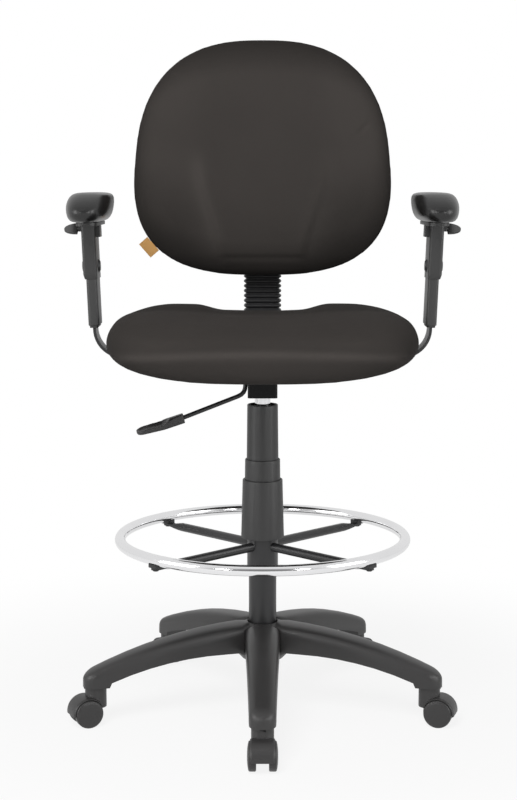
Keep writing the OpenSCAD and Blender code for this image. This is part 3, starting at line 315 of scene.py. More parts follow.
# %% Floor
REACH = 12.0
GLOW_NEAR, GLOW_FAR = 0.87, 1.0
GLOW_MIRRORED = 0.7
floor_mesh = bpy.data.meshes.new("studio_floor")
corners = [(-REACH, -REACH, 0), (REACH, -REACH, 0), (REACH, REACH, 0), (-REACH, REACH, 0)]
floor_mesh.from_pydata(corners, [], [(0, 1, 2, 3)])
floor = bpy.data.objects.new("studio_floor", floor_mesh)
scene.collection.objects.link(floor)
paint = Finish("floor_paint", Roughness=0.9, Specular_IOR_Level=0.2)
speckle = paint.noise(40, 2)
paint.set(Base_Color=paint.mix(speckle, (0.85, 0.85, 0.85), (0.9, 0.9, 0.9)))
x, y, _ = paint.parts(paint.place())
glow = (x * x + y * y).root().step(0.3, 1.2) * (GLOW_FAR - GLOW_NEAR) + GLOW_NEAR
glow = glow * paint.ray("Is Camera Ray") + paint.ray("Is Glossy Ray") * GLOW_MIRRORED
white = paint.node("ShaderNodeEmission", {}, {"Color": (1, 1, 1, 1), "Strength": 1.0})
paint.show(paint.layered(glow, paint.surface, white))
floor_mesh.materials.append(paint.material)
print("floor:", 2 * REACH, "m wide")

# %% [markdown]
# ## Cloth
#
# Back and seat wear one charcoal cloth, a plain weave of coarse yarn, and the tag is a ribbon of the
# same weave in tan. A picture of cloth would blur up close and show its repeats, so the weave is
# worked out from the piece's own map in metres and keeps its real size at any distance.

# %% Cloth
WEAVE = 0.0014  # from one thread to the next but one


def woven(name, dark, light):
    """Plain weave on the piece's own UV map, in metres: threads cross as sin(u) sin(v), with paler
    flecks where single threads catch the light and slow clouds where the pile lies differently. A
    field on the mesh scales the colour: painted shade towards the outlines and on faces turned from
    the lamps, and a paler painted highlight on ridges and crests."""
    cloth = Finish(name, Specular_IOR_Level=0.12)
    u, v, _ = cloth.parts(cloth.place("UV"))
    turns = 2 * math.pi / WEAVE
    threads = (u * turns).sin() * (v * turns).sin() * 0.5 + 0.5
    fleck = cloth.noise(900, 2)
    cloud = cloth.noise(7, 3)
    colour = cloth.mix(threads * 0.3 + fleck * 0.4 + cloud * 0.3, dark, light)
    # Painted light: a field on the mesh darkens the colour as painted shade and leaves painted
    # highlights paler.
    painted_light = cloth.node("ShaderNodeAttribute", {"attribute_name": "painted_light"}, output="Fac")
    cloth.set(Base_Color=cloth.mix(painted_light, (0.0, 0.0, 0.0), colour))
    cloth.set(Roughness=fleck * 0.12 + 0.86)
    cloth.relief(threads * 0.7 + fleck * 0.3, 0.0003, 0.5)
    return cloth.material


CHARCOAL = woven("charcoal_cloth", (0.0365, 0.0328, 0.0302), (0.075, 0.0667, 0.062))
RIBBON = woven("tan_ribbon", (0.42, 0.22, 0.07), (0.62, 0.36, 0.14))
print("weave:", WEAVE * 1000, "mm")

# %% [markdown]
# ## Moulded plastics
#
# Base, covers, grips and pads are moulded, and a mould's walls are etched so that flow marks don't
# show. That leaves a fine even grain and a soft shine. Nearly all are black, so they are told apart
# by roughness and grain rather than by colour.


# %% Moulded plastics
def moulded(name, colour, roughness, grain=1100, depth=0.00008, tint=0.12):
    """Injection-moulded plastic: an even colour with slow shades, and a spark-eroded grain."""
    plastic = Finish(name, Specular_IOR_Level=0.5)
    slow = plastic.noise(9, 2)
    fine = plastic.noise(grain, 2)
    low = tuple(c * (1 - tint) for c in colour)
    high = tuple(c * (1 + tint) for c in colour)
    plastic.set(Base_Color=plastic.mix(slow * 0.6 + fine * 0.4, low, high))
    plastic.set(Roughness=slow * 0.1 + fine * 0.06 + (roughness - 0.08))
    plastic.relief(fine, depth, 0.6)
    return plastic.material


NYLON = moulded("moulded_nylon", (0.030, 0.029, 0.029), 0.4)
COVER = moulded("satin_cover", (0.031, 0.031, 0.031), 0.42)
SOFT_SKIN = moulded("soft_skin", (0.012, 0.012, 0.012), 0.3, grain=600, depth=0.00008)
BELLOWS = moulded("flexible_bellows", (0.026, 0.026, 0.027), 0.5)
ACETAL = moulded("natural_acetal", (0.62, 0.6, 0.54), 0.4)
print("plastics:", NYLON.name, COVER.name, SOFT_SKIN.name, BELLOWS.name, ACETAL.name)

# %% [markdown]
# ## Painted steel
#
# Tube, straps, spokes and bar are powder-coated: the powder melts into a thick film with a skin like
# an orange's. The mechanism is dipped in a thinner gloss paint and is nearly black. Both are one
# recipe, a dark film under a thin clear coat, with the shine as a parameter.


# %% Painted steel
def coated(name, colour, roughness, shine=0.5):
    """Powder coat on steel: a fine orange peel over a dark, slightly shiny film."""
    paint = Finish(name, Coat_Roughness=0.25, Specular_IOR_Level=shine)
    peel = paint.noise(420, 1)
    slow = paint.noise(14, 2)
    low = tuple(c * 0.85 for c in colour)
    paint.set(Base_Color=paint.mix(slow, low, colour))
    paint.set(Roughness=slow * 0.1 + (roughness - 0.05))
    paint.set(Coat_Weight=peel * 0.1 + shine * 0.2 - 0.02)
    paint.relief(peel, 0.00006, 0.5)
    return paint.material


COATED = coated("black_powder_coat", (0.016, 0.016, 0.017), 0.36)
GLOSS = coated("gloss_black_coat", (0.007, 0.007, 0.007), 0.18, shine=0.12)
print("paints:", COATED.name, GLOSS.name)

# %% [markdown]
# ## Bare metal
#
# The foot ring and the lift's cylinder are chromed, and chrome is all mirror: its looks come from
# the tent, and the finish only adds the haze of handling. Hidden pins, bolts and bearings are ground
# steel, with scratches drawn out along the piece.


# %% Bare metal
def plated():
    """Polished chrome: mirror-smooth metal with the faint haze of handling."""
    metal = Finish("polished_chrome", Metallic=1.0)
    haze = metal.noise(30, 3)
    metal.set(Base_Color=metal.mix(haze, (0.86, 0.86, 0.87), (0.92, 0.92, 0.93)))
    metal.set(Roughness=haze * 0.06 + 0.06)
    return metal.material


def ground():
    """Ground steel: fine scratches drawn out along the height of the piece."""
    metal = Finish("ground_steel", Metallic=1.0)
    lines = metal.noise(700, 2, stretch=(1, 1, 0.05))
    metal.set(Base_Color=metal.mix(lines, (0.45, 0.45, 0.46), (0.62, 0.62, 0.63)))
    metal.set(Roughness=lines * 0.15 + 0.25)
    metal.relief(lines, 0.00003, 0.5)
    return metal.material


CHROME = plated()
STEEL = ground()
print("metals:", CHROME.name, STEEL.name)

# %% [markdown]
# ## Plywood
#
# The boards inside both cushions are beech plywood, and the seat's shows from below. The finish has
# the two things that tell plywood from solid wood: long grain on the face and thin glued plies on
# the edge.

# %% Plywood
PLY = 0.003


def plywood():
    """Beech plywood: grain drawn out along X, and glued plies that show as bands over the height."""
    wood = Finish("plywood", Roughness=0.65)
    grain = wood.noise(60, 4, stretch=(0.06, 1, 1))
    height = wood.parts(wood.place())[2]
    plies = (height * (2 * math.pi / PLY)).sin() * 0.5 + 0.5
    wood.set(Base_Color=wood.mix(grain * 0.7 + plies * 0.3, (0.42, 0.29, 0.17), (0.66, 0.5, 0.32)))
    wood.set(Roughness=grain * 0.2 + 0.5)
    wood.relief(grain, 0.0001, 0.5)
    return wood.material


PLYWOOD = plywood()
print("wood:", PLYWOOD.name)

# %% [markdown]
# ## Rounded edges on the rigid parts
#
# No moulding or casting has a knife edge: a radius of half a millimetre catches the light and makes a
# part look made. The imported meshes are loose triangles, so a copy is merged, flat areas are joined
# into single faces, and a bevel rounds what is left sharp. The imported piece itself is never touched.

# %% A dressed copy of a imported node
SHARP = math.radians(32)  # edges that turn by more are rounded
FLAT = math.radians(0.5)  # triangles that turn by less are one face
MERGED = 1e-6  # points nearer than this are one


def dressed(node, body, finish, radius):
    """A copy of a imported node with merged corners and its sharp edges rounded."""
    mesh = frame["nodes"][node].data.copy()
    mesh.materials.clear()
    mesh.materials.append(finish)
    bm = bmesh.new()
    bm.from_mesh(mesh)
    bmesh.ops.remove_doubles(bm, verts=bm.verts, dist=MERGED)
    bmesh.ops.dissolve_limit(bm, angle_limit=FLAT, verts=bm.verts, edges=bm.edges)
    bm.to_mesh(mesh)
    bm.free()
    mesh.shade_smooth()
    mesh.set_sharp_from_angle(angle=SHARP)
    piece = bpy.data.objects.new(node + "_finished", mesh)
    scene.collection.objects.link(piece)
    if radius:
        bevel = piece.modifiers.new("edge", "BEVEL")
        bevel.width = radius
        bevel.segments = 2
        bevel.limit_method = "ANGLE"
        bevel.angle_limit = SHARP
        bevel.harden_normals = True
    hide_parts(node)
    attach(piece, body)


BODY = {n: b for b, ns in frame["record"]["behaviour"]["bodies"].items() for n in ns}

# %% [markdown]
# ## Surfaces from arrays
#
# A padded part is a closed surface of two parameters: an angle round its outline and a station
# through its thickness. It could be pulled out of a cube by hand, but then its size would be a guess.
# Here whole arrays are worked out at once, and the mesh is filled from them.

# %% Grids
turn = np.linspace(0, 2 * np.pi, 120, endpoint=False)  # the angle round every outline


def power(value, exponent):
    """Signed power: sign(v) |v|^p, which turns a circle into a rounded square."""
    return np.sign(value) * np.abs(value) ** exponent


def quads(rows, columns, steps):
    """Corner numbers of the faces of a grid that closes round its columns, over that many steps
    from row to row. As many steps as rows close it that way too."""
    row, column = np.meshgrid(np.arange(steps), np.arange(columns), indexing="ij")
    after, above = (column + 1) % columns, (row + 1) % rows
    corners = [row * columns + column, row * columns + after]
    corners += [above * columns + after, above * columns + column]
    return np.stack(corners, -1).reshape(-1, 4)


def mesh_of(name, points, faces):
    """A mesh with smooth shading, merged corners and outward normals."""
    mesh = bpy.data.meshes.new(name)
    mesh.from_pydata(points.tolist(), [], faces)
    bm = bmesh.new()
    bm.from_mesh(mesh)
    bmesh.ops.remove_doubles(bm, verts=bm.verts, dist=MERGED)
    bmesh.ops.recalc_face_normals(bm, faces=bm.faces)
    bm.to_mesh(mesh)
    bm.free()
    mesh.shade_smooth()
    return mesh


def loop_mesh(name, rings):
    """A tube closed into itself: the last ring joins the first."""
    rows, columns, _ = rings.shape
    return mesh_of(name, rings.reshape(-1, 3), quads(rows, columns, rows).tolist())


def shell_mesh(name, rings):
    """A closed mesh from an array of rings, whose first and last ring are capped by their middle."""
    rows, columns, _ = rings.shape
    points = np.concatenate([rings.reshape(-1, 3), rings[0].mean(0)[None], rings[-1].mean(0)[None]])
    ring = np.arange(columns)
    after = (ring + 1) % columns
    base = (rows - 1) * columns
    start = np.stack([after, ring, np.full(columns, rows * columns)], -1)
    end = np.stack([base + ring, base + after, np.full(columns, rows * columns + 1)], -1)
    faces = quads(rows, columns, rows - 1).tolist() + start.tolist() + end.tolist()
    return mesh_of(name, points, faces)


print("points round an outline:", len(turn))

# %% [markdown]
# ## Reading and writing points
#
# Shapes are bent further once they are meshes, and finishes read fields and maps from them. Moving
# points one at a time is slow, so they are read and written as arrays. Cloth gets a flat map in
# metres, because a weave laid on by space alone would smear down the sides of a cushion.


# %% Points, fields and maps
def placed(name, mesh, finish):
    """A new piece with that mesh and finish, at the origin."""
    mesh.materials.clear()
    mesh.materials.append(finish)
    piece = bpy.data.objects.new(name, mesh)
    scene.collection.objects.link(piece)
    return piece


def points_of(mesh):
    """Places of the points, one row each."""
    flat = np.empty(len(mesh.vertices) * 3)
    mesh.vertices.foreach_get("co", flat)
    return flat.reshape(-1, 3)


def normals_of(mesh):
    """Directions in which the points face, one row each."""
    flat = np.empty(len(mesh.vertices) * 3, np.float32)
    mesh.vertices.foreach_get("normal", flat)
    return flat.reshape(-1, 3).astype(float)


def set_points(mesh, points):
    """Moves the points to those places."""
    mesh.vertices.foreach_set("co", points.astype(np.float32).ravel())
    mesh.update()


def set_field(mesh, name, values):
    """Stores one number a point under that name, for a finish to read."""
    field = mesh.attributes.new(name, "FLOAT", "POINT")
    field.data.foreach_set("value", values.astype(np.float32))


def cloth_map(mesh):
    """A UV map in metres: each face is laid flat along the axis that it faces most."""
    mesh.update()
    corner_point = np.empty(len(mesh.loops), np.int32)
    mesh.loops.foreach_get("vertex_index", corner_point)
    starts = np.empty(len(mesh.polygons), np.int32)
    totals = np.empty(len(mesh.polygons), np.int32)
    facing = np.empty(len(mesh.polygons) * 3, np.float32)
    mesh.polygons.foreach_get("loop_start", starts)
    mesh.polygons.foreach_get("loop_total", totals)
    mesh.polygons.foreach_get("normal", facing)
    axis = np.repeat(np.abs(facing.reshape(-1, 3)).argmax(1), totals)
    at = points_of(mesh)[corner_point]
    pairs = np.array([[1, 2], [0, 2], [0, 1]])[axis]
    uv = np.take_along_axis(at, pairs, 1)
    layer = mesh.uv_layers.new(name="weave")
    layer.data.foreach_set("uv", uv.astype(np.float32).ravel())


def ramp(value, low, high):
    """0 below low, 1 above high, and 3t^2 - 2t^3 between them."""
    t = np.clip((value - low) / (high - low), 0, 1)
    return t * t * (3 - 2 * t)


print("half way up a ramp:", float(ramp(0.5, 0, 1)))


# %% [markdown]
# ## Stuffing a cushion
#
# A foam cushion is a smaller form that its cover pulls tight and the foam pushes out. Cloth
# simulation does the same: the form is remeshed evenly, blown up a little with gravity off, and
# every point is held within a cap of where it began.

# %% Swelling by simulation
STEPS = 20


def applied(piece):
    """The mesh that the piece's modifiers make, which becomes the piece's own."""
    depsgraph = bpy.context.evaluated_depsgraph_get()
    piece_mesh = bpy.data.meshes.new_from_object(piece.evaluated_get(depsgraph))
    piece.modifiers.clear()
    piece.data = piece_mesh
    return piece_mesh


def remeshed(piece, voxel):
    """The piece's mesh made of even faces of that size."""
    remesh = piece.modifiers.new("even", "REMESH")
    remesh.mode = "VOXEL"
    remesh.voxel_size = voxel
    return applied(piece)


def evened(mesh, field, times):
    """A field of vectors after that many rounds in which each point takes half the mean of its
    neighbours, which irons creases out and keeps the broad swelling."""
    ends = np.empty(len(mesh.edges) * 2, np.int32)
    mesh.edges.foreach_get("vertices", ends)
    first, second = ends.reshape(-1, 2).T
    size = len(field)
    count = np.bincount(ends, minlength=size)[:, None]
    for _ in range(times):
        total = [
            np.bincount(first, field[second, k], size) + np.bincount(second, field[first, k], size)
            for k in range(3)
        ]
        field = (field + np.stack(total, 1) / count) / 2
    return field


def swollen(piece, voxel, pressure, cap, ironing):
    """The points of the piece, evenly remeshed, after some steps of inflated cloth. No point moves
    more than cap metres, and the swelling is evened that many times."""
    even = remeshed(piece, voxel)
    before = points_of(even)
    cloth = piece.modifiers.new("foam", "CLOTH")
    cloth.settings.quality = 5
    cloth.settings.mass = 0.3
    cloth.settings.tension_stiffness = 15
    cloth.settings.compression_stiffness = 15
    cloth.settings.bending_stiffness = 2
    cloth.settings.use_pressure = True
    cloth.settings.uniform_pressure_force = pressure
    cloth.settings.effector_weights.gravity = 0
    cloth.point_cache.frame_start = 1
    cloth.point_cache.frame_end = STEPS
    for step in range(1, STEPS + 1):
        scene.frame_set(step)
    depsgraph = bpy.context.evaluated_depsgraph_get()
    after_mesh = bpy.data.meshes.new_from_object(piece.evaluated_get(depsgraph))
    after = points_of(after_mesh)
    piece.modifiers.clear()
    scene.frame_set(1)
    moved = after - before
    length = np.linalg.norm(moved, axis=1, keepdims=True)
    print(piece.name, "swelled by up to", round(float(length.max()) * 1000, 1), "mm")
    return before + evened(even, moved * np.minimum(1, cap / np.maximum(length, 1e-9)), ironing)


def fit_box(points, low, high):
    """Points stretched along X, Y and Z so that they fill the box from low to high."""
    at_low, at_high = points.min(0), points.max(0)
    share = (points - at_low) / (at_high - at_low)
    return np.array(low) + share * (np.array(high) - np.array(low))


def subdivided(piece, levels=1):
    """The piece's mesh smoothed and divided, applied at once."""
    smooth = piece.modifiers.new("finer", "SUBSURF")
    smooth.levels = smooth.render_levels = levels
    mesh = applied(piece)
    mesh.shade_smooth()
    return mesh


print("steps of cloth:", STEPS)

# %% [markdown]
# ## The back cushion
#
# Moulded foam with a cover pulled over its edge. Seen from the front it is a rounded square, wider
# above the waist; the foam is carved into a lumbar column between two side bolsters, and the cover
# bridges the step as a soft fold.

# %% Back cushion form
BACK_LOW, BACK_HIGH = (np.array(c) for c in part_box("back_cushion"))
BACK_MID = (BACK_LOW + BACK_HIGH) / 2
BACK_FOOT = BACK_LOW[2]
BACK_HALF_W, BACK_HALF_H = 0.239, (BACK_HIGH[2] - BACK_LOW[2]) / 2
BACK_TAPER = 0.08  # how much narrower the top is than the middle
BACK_TILT = math.tan(math.radians(5))
BACK_WRAP = 0.022  # how far both sides come forward
BACK_FRONT = 0.200


def back_middle(x, z):
    """Surface that leans back with the height and wraps forward with x squared."""
    return BACK_FRONT + (z - BACK_FOOT) * BACK_TILT - BACK_WRAP * (x / BACK_HALF_W) ** 2


def back_ring(turn, inset, depth):
    """Outline x = w/2 c^(2/n) (1 - 0.08 v), z = h/2 v with v = s^(2/n), drawn in by inset, on the
    leaning surface, at a depth behind it."""
    square = np.where(np.sin(turn) > 0, 2.6, 2.75)
    v = power(np.sin(turn), 2 / square)
    x = (BACK_HALF_W - inset) * power(np.cos(turn), 2 / square) * (1 - BACK_TAPER * v) / 1.005
    z = BACK_MID[2] + (BACK_HALF_H - inset) * v
    return np.stack([x, back_middle(x, z) + depth, z], -1)


# Each station of the section: how far the outline is drawn in, and how far behind the surface.
stations = np.array([
    [0.200, 0.008], [0.150, 0.008], [0.100, 0.008], [0.060, 0.008], [0.035, 0.008],
    [0.018, 0.0075], [0.009, 0.005], [0.004, 0.000], [0.0025, -0.006], [0.003, -0.012],
    [0.006, -0.018], [0.011, -0.0238], [0.018, -0.0286], [0.028, -0.033], [0.042, -0.037],
    [0.060, -0.0402], [0.085, -0.0427], [0.120, -0.0437], [0.160, -0.044], [0.200, -0.044],
])
rings = np.stack([back_ring(turn, i, d) for i, d in stations])
back = placed("back_cushion_cover", shell_mesh("back_cushion_cover", rings), CHARCOAL)
set_points(back.data, swollen(back, 0.0055, 4.0, 0.022, ironing=60))
back_mesh = subdivided(back)
set_points(back_mesh, fit_box(points_of(back_mesh), BACK_LOW, BACK_HIGH))
print("back cushion:", len(back_mesh.polygons), "faces")

# %% [markdown]
# ## Folds of the back
#
# On the real chair the foam is cut to a lumbar column, and the cover falls from it to both sides in
# two soft folds. They could be sculpted by brush, but a formula keeps them alike left and right: one
# function tells how far beside the column a point is, and the fall, the crests along it and the
# painted shade and painted highlight on the cloth all follow from that. What reaches far is moved
# straight to the rear, because moving it along the normals would bulge the rim.

# %% Folds of the back


def lumbar_side(x, z):
    """Distance beside the lumbar column, whose half width grows from 70 mm to 112 mm upwards."""
    return np.abs(x) - 0.070 - 0.042 * ramp(z, 0.80, 0.99)


def back_fall(points):
    """How far points move to the rear: beside the column the lower sides fall away, and the foot
    of the cushion turns under. A point at the rear stays, one on the front moves in full."""
    x, y, z = points.T
    share = np.clip((back_middle(x, z) + 0.008 - y) / 0.052, 0, 1)
    side = lumbar_side(x, z)
    fall = 0.0035 * ramp(side, -0.004, 0.016) + 0.020 * ramp(side, 0.0, 0.13)
    return share * (fall * (1 - ramp(z, 0.87, 1.0)) + 0.007 * (1 - ramp(z, 0.78, 0.90)))


def back_relief(points, normals):
    """Fine relief along the normal of faces that look forward: a crest along both edges of the
    lumbar column, and one short crease across the sitter's left shoulder."""
    x, z = points[:, 0], points[:, 2]
    front = ramp(-normals[:, 1], 0.2, 0.8)
    side = lumbar_side(x, z)
    crest = np.exp(-((side / 0.012) ** 2)) * (1 - ramp(z, 0.96, 1.02)) * ramp(z, 0.80, 0.85)
    foot = np.exp(-(((z - 0.813) / 0.005) ** 2)) * (1 - ramp(side, -0.01, 0.02))
    along, across = x + z - 1.236, x - z + 0.865
    crease = np.exp(-((across / 0.007) ** 2) - (along / 0.025) ** 2)
    slack = 0.0006 * np.sin(x * 31 + z * 17) * np.sin(z * 43 - x * 9)
    return front * (0.0022 * crest - 0.002 * crease - 0.002 * foot + slack)


def back_painted_light(points):
    """Share of the cloth's colour, which is painted light: a painted highlight beside the lumbar
    column, most of all on the sitter's right, and painted shade towards the outline and on the lower
    sides."""
    x, z = points[:, 0], points[:, 2]
    u, v = np.abs(x) / BACK_HALF_W, np.abs(z - BACK_MID[2]) / BACK_HALF_H
    inside = 0.21 * (1 - (u**2.65 + v**2.65) ** (1 / 2.65))
    edge = 0.47 + 0.53 * ramp(inside, -0.02, 0.035 + 0.05 * ramp(v, 0.4, 0.9))
    side = lumbar_side(x, z)
    beside = np.exp(-(((side - 0.010) / 0.016) ** 2)) * ramp(z, 0.80, 0.87) * (1 - ramp(z, 0.97, 1.03))
    shoulder = 0.79 + 0.08 * ramp(u, 0.35, 0.7) * ramp(z, 0.90, 1.0)
    shoulder += beside * np.where(x < 0, 0.22, 0.05)
    sides = ramp(side, 0.01, 0.08) * (1 - ramp(z, 0.83, 0.95))
    foot = 1 - ramp(z, 0.800, 0.826)
    return np.minimum(1, edge * shoulder * (1 - 0.26 * sides) * (1 - 0.2 * foot))


points, normals = points_of(back_mesh), normals_of(back_mesh)
# The field of painted shade and painted highlight is stored on the back for the cloth to read.
set_field(back_mesh, "painted_light", back_painted_light(points))
moved = points + normals * back_relief(points, normals)[:, None]
moved[:, 1] += back_fall(points)
set_points(back_mesh, moved)
cloth_map(back_mesh)
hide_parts("back_cushion")
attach(back, "back")
print("back cushion nap:", round(float(back_painted_light(points).mean()), 3))

# %% [markdown]
# ## The seat cushion
#
# The seat is a wide rounded slab with a waterfall front: it rolls down past the board so that no edge
# presses behind the knees. Two lobes at the rear cradle the sitter, with a flat dip between them.

# %% Seat cushion form
SEAT_LOW, SEAT_HIGH = (np.array(c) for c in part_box("seat_cushion"))
SEAT_HALF_W, SEAT_HALF_D = (SEAT_HIGH - SEAT_LOW)[:2] / 2
SEAT_MID_Y = (SEAT_LOW[1] + SEAT_HIGH[1]) / 2
SEAT_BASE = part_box("seat_board")[0][2]
SEAT_TOP = 0.716


def seat_upper(x, y):
    """Height of the top: bolsters rise with x, two lobes rise at the rear beside a flat dip, and the
    front falls with the square of the distance."""
    u, v = np.abs(x) / SEAT_HALF_W, (SEAT_MID_Y - y) / SEAT_HALF_D
    side = (1.5 * u) ** 2
    forward = np.maximum(0, v)
    lobe = 0.006 * ramp(u, 0.26, 0.46) * (1 - ramp(u, 0.6, 1)) * ramp(-v, 0.15, 0.6)
    return SEAT_TOP + 0.013 * side / (1 + side) * (1 - forward) - 0.026 * forward**2 + lobe


def seat_lower(x, y):
    """Height of the underside, which drops under the front roll."""
    v = np.maximum(0, (SEAT_MID_Y - y) / SEAT_HALF_D - 0.35) / 0.65
    return SEAT_BASE - 0.034 * v**1.5


def seat_ring(turn, inset, share):
    """Rounded-square outline drawn in by inset, at a share of the height between the two faces. At
    the front the panel below the ridge leans back under the seat."""
    x = (SEAT_HALF_W - inset) * power(np.cos(turn), 2 / 2.9)
    y = SEAT_MID_Y + (SEAT_HALF_D - inset) * power(np.sin(turn), 2 / 2.9)
    low, high = seat_lower(x, y), seat_upper(x, y)
    under = 0.014 * max(0, 1 - share / 0.72) * ramp(-np.sin(turn), 0.5, 1)
    return np.stack([x, y + under, low + share * (high - low)], -1)


# Each station of the section: how far the outline is drawn in, and the share of the height.
stations = np.array([
    [0.200, 0.0], [0.150, 0.0], [0.100, 0.0], [0.060, 0.0], [0.036, 0.0], [0.022, 0.015],
    [0.012, 0.06], [0.006, 0.14], [0.003, 0.25], [0.002, 0.38], [0.003, 0.5], [0.006, 0.62],
    [0.011, 0.73], [0.018, 0.82], [0.028, 0.895], [0.042, 0.945], [0.060, 0.975],
    [0.085, 0.992], [0.120, 1.0], [0.160, 1.0], [0.200, 1.0],
])
rings = np.stack([seat_ring(turn, i, s) for i, s in stations])
seat = placed("seat_cushion_cover", shell_mesh("seat_cushion_cover", rings), CHARCOAL)
set_points(seat.data, swollen(seat, 0.0055, 4.0, 0.022, ironing=60))
seat_mesh = subdivided(seat)
set_points(seat_mesh, fit_box(points_of(seat_mesh), SEAT_LOW, SEAT_HIGH))
print("seat cushion:", len(seat_mesh.polygons), "faces")

# %% [markdown]
# ## Lobes and front ridge of the seat
#
# The cover of the real seat is drawn round the front edge, and where the top turns into the roll it
# stands up in a low ridge from end to end. A painted highlight makes it paler. Ridge and lobes are
# fine relief along the normals, and the painted highlight and the painted shade on lobes and sides
# are one more field on the mesh.

# %% Lobes and front ridge of the seat


def above_ridge(points):
    """Height above the ridge of the front roll, which sinks towards both ends."""
    return points[:, 2] - 0.673 + 0.014 * (points[:, 0] / 0.25) ** 2


def seat_relief(points, normals):
    """Along the normal: two lobes at the rear from 75 mm beside the middle, and round the front a
    ridge where the top turns into the roll, with a shallow hollow above it."""
    x, y, z = points.T
    up = ramp(normals[:, 2], 0.1, 0.7)
    rear = ramp(y, -0.05, 0.12)
    u = np.abs(x)
    lobe = ramp(u, 0.070, 0.125) * (1 - ramp(u, 0.16, 0.27)) * rear
    forward = ramp(-normals[:, 1], 0.0, 0.5) * (1 - ramp(u, 0.21, 0.265))
    above = above_ridge(points)
    ridge = np.exp(-((above / 0.008) ** 2)) - 0.55 * np.exp(-(((above - 0.019) / 0.010) ** 2))
    slack = 0.0006 * np.sin(x * 27 + y * 13) * np.sin(y * 39 - x * 11)
    return up * (0.004 * lobe + slack) + 0.005 * ridge * forward


def seat_painted_light(points):
    """Share of the cloth's colour, which is painted light: painted shade on the rear lobes, at both
    sides and below the ridge, and a painted highlight on the ridge itself."""
    x, y, z = points.T
    forward = 1 - ramp(y, -0.20, -0.13)
    above = above_ridge(points)
    ridge = np.exp(-((above / 0.008) ** 2)) * forward
    below = (1 - ramp(above, -0.016, -0.004)) * forward
    rear = ramp(y + 3 * (z - SEAT_TOP), 0.03, 0.075)
    dark = (1 - 0.26 * rear) * (1 - 0.12 * ramp(np.abs(x), 0.20, 0.26))
    return np.minimum(1, 0.75 * dark * (1 - 0.14 * below) * (1 + 0.36 * ridge))


points, normals = points_of(seat_mesh), normals_of(seat_mesh)
# The field of painted shade and painted highlight is stored on the seat for the cloth to read.
set_field(seat_mesh, "painted_light", seat_painted_light(points))
set_points(seat_mesh, points + normals * seat_relief(points, normals)[:, None])
cloth_map(seat_mesh)
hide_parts("seat_cushion")
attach(seat, "seat")
print("seat cushion nap:", round(float(seat_painted_light(points).mean()), 3))

# %% [markdown]
# ## Arm pads
#
# Each pad is a soft skin foamed over a plate, shaped to the forearm: its inner edge stands up, its
# outer side is full and low, and in front the top falls away to a lip. A box with rounded corners
# would shine in one flat patch; here every ring has its own inner and outer width, so the light runs
# down to the lip.

# %% Arm pads
NOSE = 0.045


def arm_pad(side, name, node, body):
    """Superellipse rings |x|^2.5 + |y|^3.2 = 1 stacked over the height. The inner half is widest near
    the top and the outer half below the middle. In front the top falls away to a nose, whose length
    grows with the height h as 45 mm ((h - 0.35) / 0.65)^1.6."""
    low, high = (np.array(c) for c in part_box(node))
    middle, half = (low + high) / 2, (high - low) / 2
    # Shares of the inner half width, the outer half width and the height.
    stations = np.array([
        [0.24, 0.34, 0.00], [0.44, 0.58, 0.00], [0.57, 0.74, 0.02], [0.68, 0.84, 0.06],
        [0.78, 0.91, 0.13], [0.86, 0.96, 0.22], [0.915, 0.985, 0.32], [0.95, 1.0, 0.42],
        [0.975, 1.0, 0.52], [0.99, 0.985, 0.62], [1.0, 0.95, 0.73], [0.99, 0.88, 0.83],
        [0.95, 0.79, 0.91], [0.86, 0.66, 0.965], [0.64, 0.46, 0.993], [0.36, 0.25, 1.0],
    ])
    inner, outer, height = stations.T[:, :, None]
    x = power(np.cos(turn), 0.8)
    y = power(np.sin(turn), 0.62)
    nose = NOSE * (y < 0) * np.clip((height - 0.35) / 0.65, 0, 1) ** 1.6
    inset = half[0] * (1 - (inner + outer) / 2) + nose
    rings = np.stack([
        middle[0] + half[0] * np.where(x * side > 0, outer, inner) * x,
        middle[1] + (half[1] - inset) * y,
        np.broadcast_to(low[2] + height * (high[2] - low[2]), inset.shape),
    ], -1)
    pad = placed(name, shell_mesh(name, rings), SOFT_SKIN)
    set_points(pad.data, swollen(pad, 0.004, 3.0, 0.008, ironing=20))
    mesh = subdivided(pad)
    set_points(mesh, fit_box(points_of(mesh), low, high))
    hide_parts(node)
    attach(pad, body)
    print(name, len(mesh.polygons), "faces")


arm_pad(-1, "left_arm_pad_skin", "left_arm_pad", "arm_left")
arm_pad(1, "right_arm_pad_skin", "right_arm_pad", "arm_right")

# %% [markdown]
# ## Bellows
#
# A rubber bellows hides the bar between seat and back. It is fixed to the bar below and to the
# carrier above, and on the real chair it stretches when the back is raised. Here it is one closed
# tube, whose width rises and falls with the height, made in place with the chair as it stands.

# %% Bellows
PITCH_Z, RIB = 0.0094, 0.005  # from rib to rib, and the depth of a groove
FIRST_CREST = 0.001 + 0.275 * PITCH_Z  # above the lower end
bellows_low, bellows_high = (np.array(c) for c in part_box("back_bellows"))
bar_low, bar_high = (np.array(c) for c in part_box("back_bar"))
bar_y = (bellows_low[1] + bellows_high[1]) / 2


def bellows_ring(z, half_x, half_y, corner=7):
    """Rounded rectangle |x/a|^n + |y/b|^n = 1 about the bar, at height z."""
    x = half_x * power(np.cos(turn), 2 / corner)
    y = half_y * power(np.sin(turn), 2 / corner) + bar_y
    return np.stack([x, y, np.full_like(x, z)], -1)


def rib_share(z):
    """1 on the crest of a rib and 0 in a groove: ((1 + cos(2 pi z / pitch)) / 2)^0.6."""
    phase = 2 * np.pi * (z - bellows_low[2] - FIRST_CREST) / PITCH_Z
    return (0.5 + 0.5 * np.cos(phase)) ** 0.6


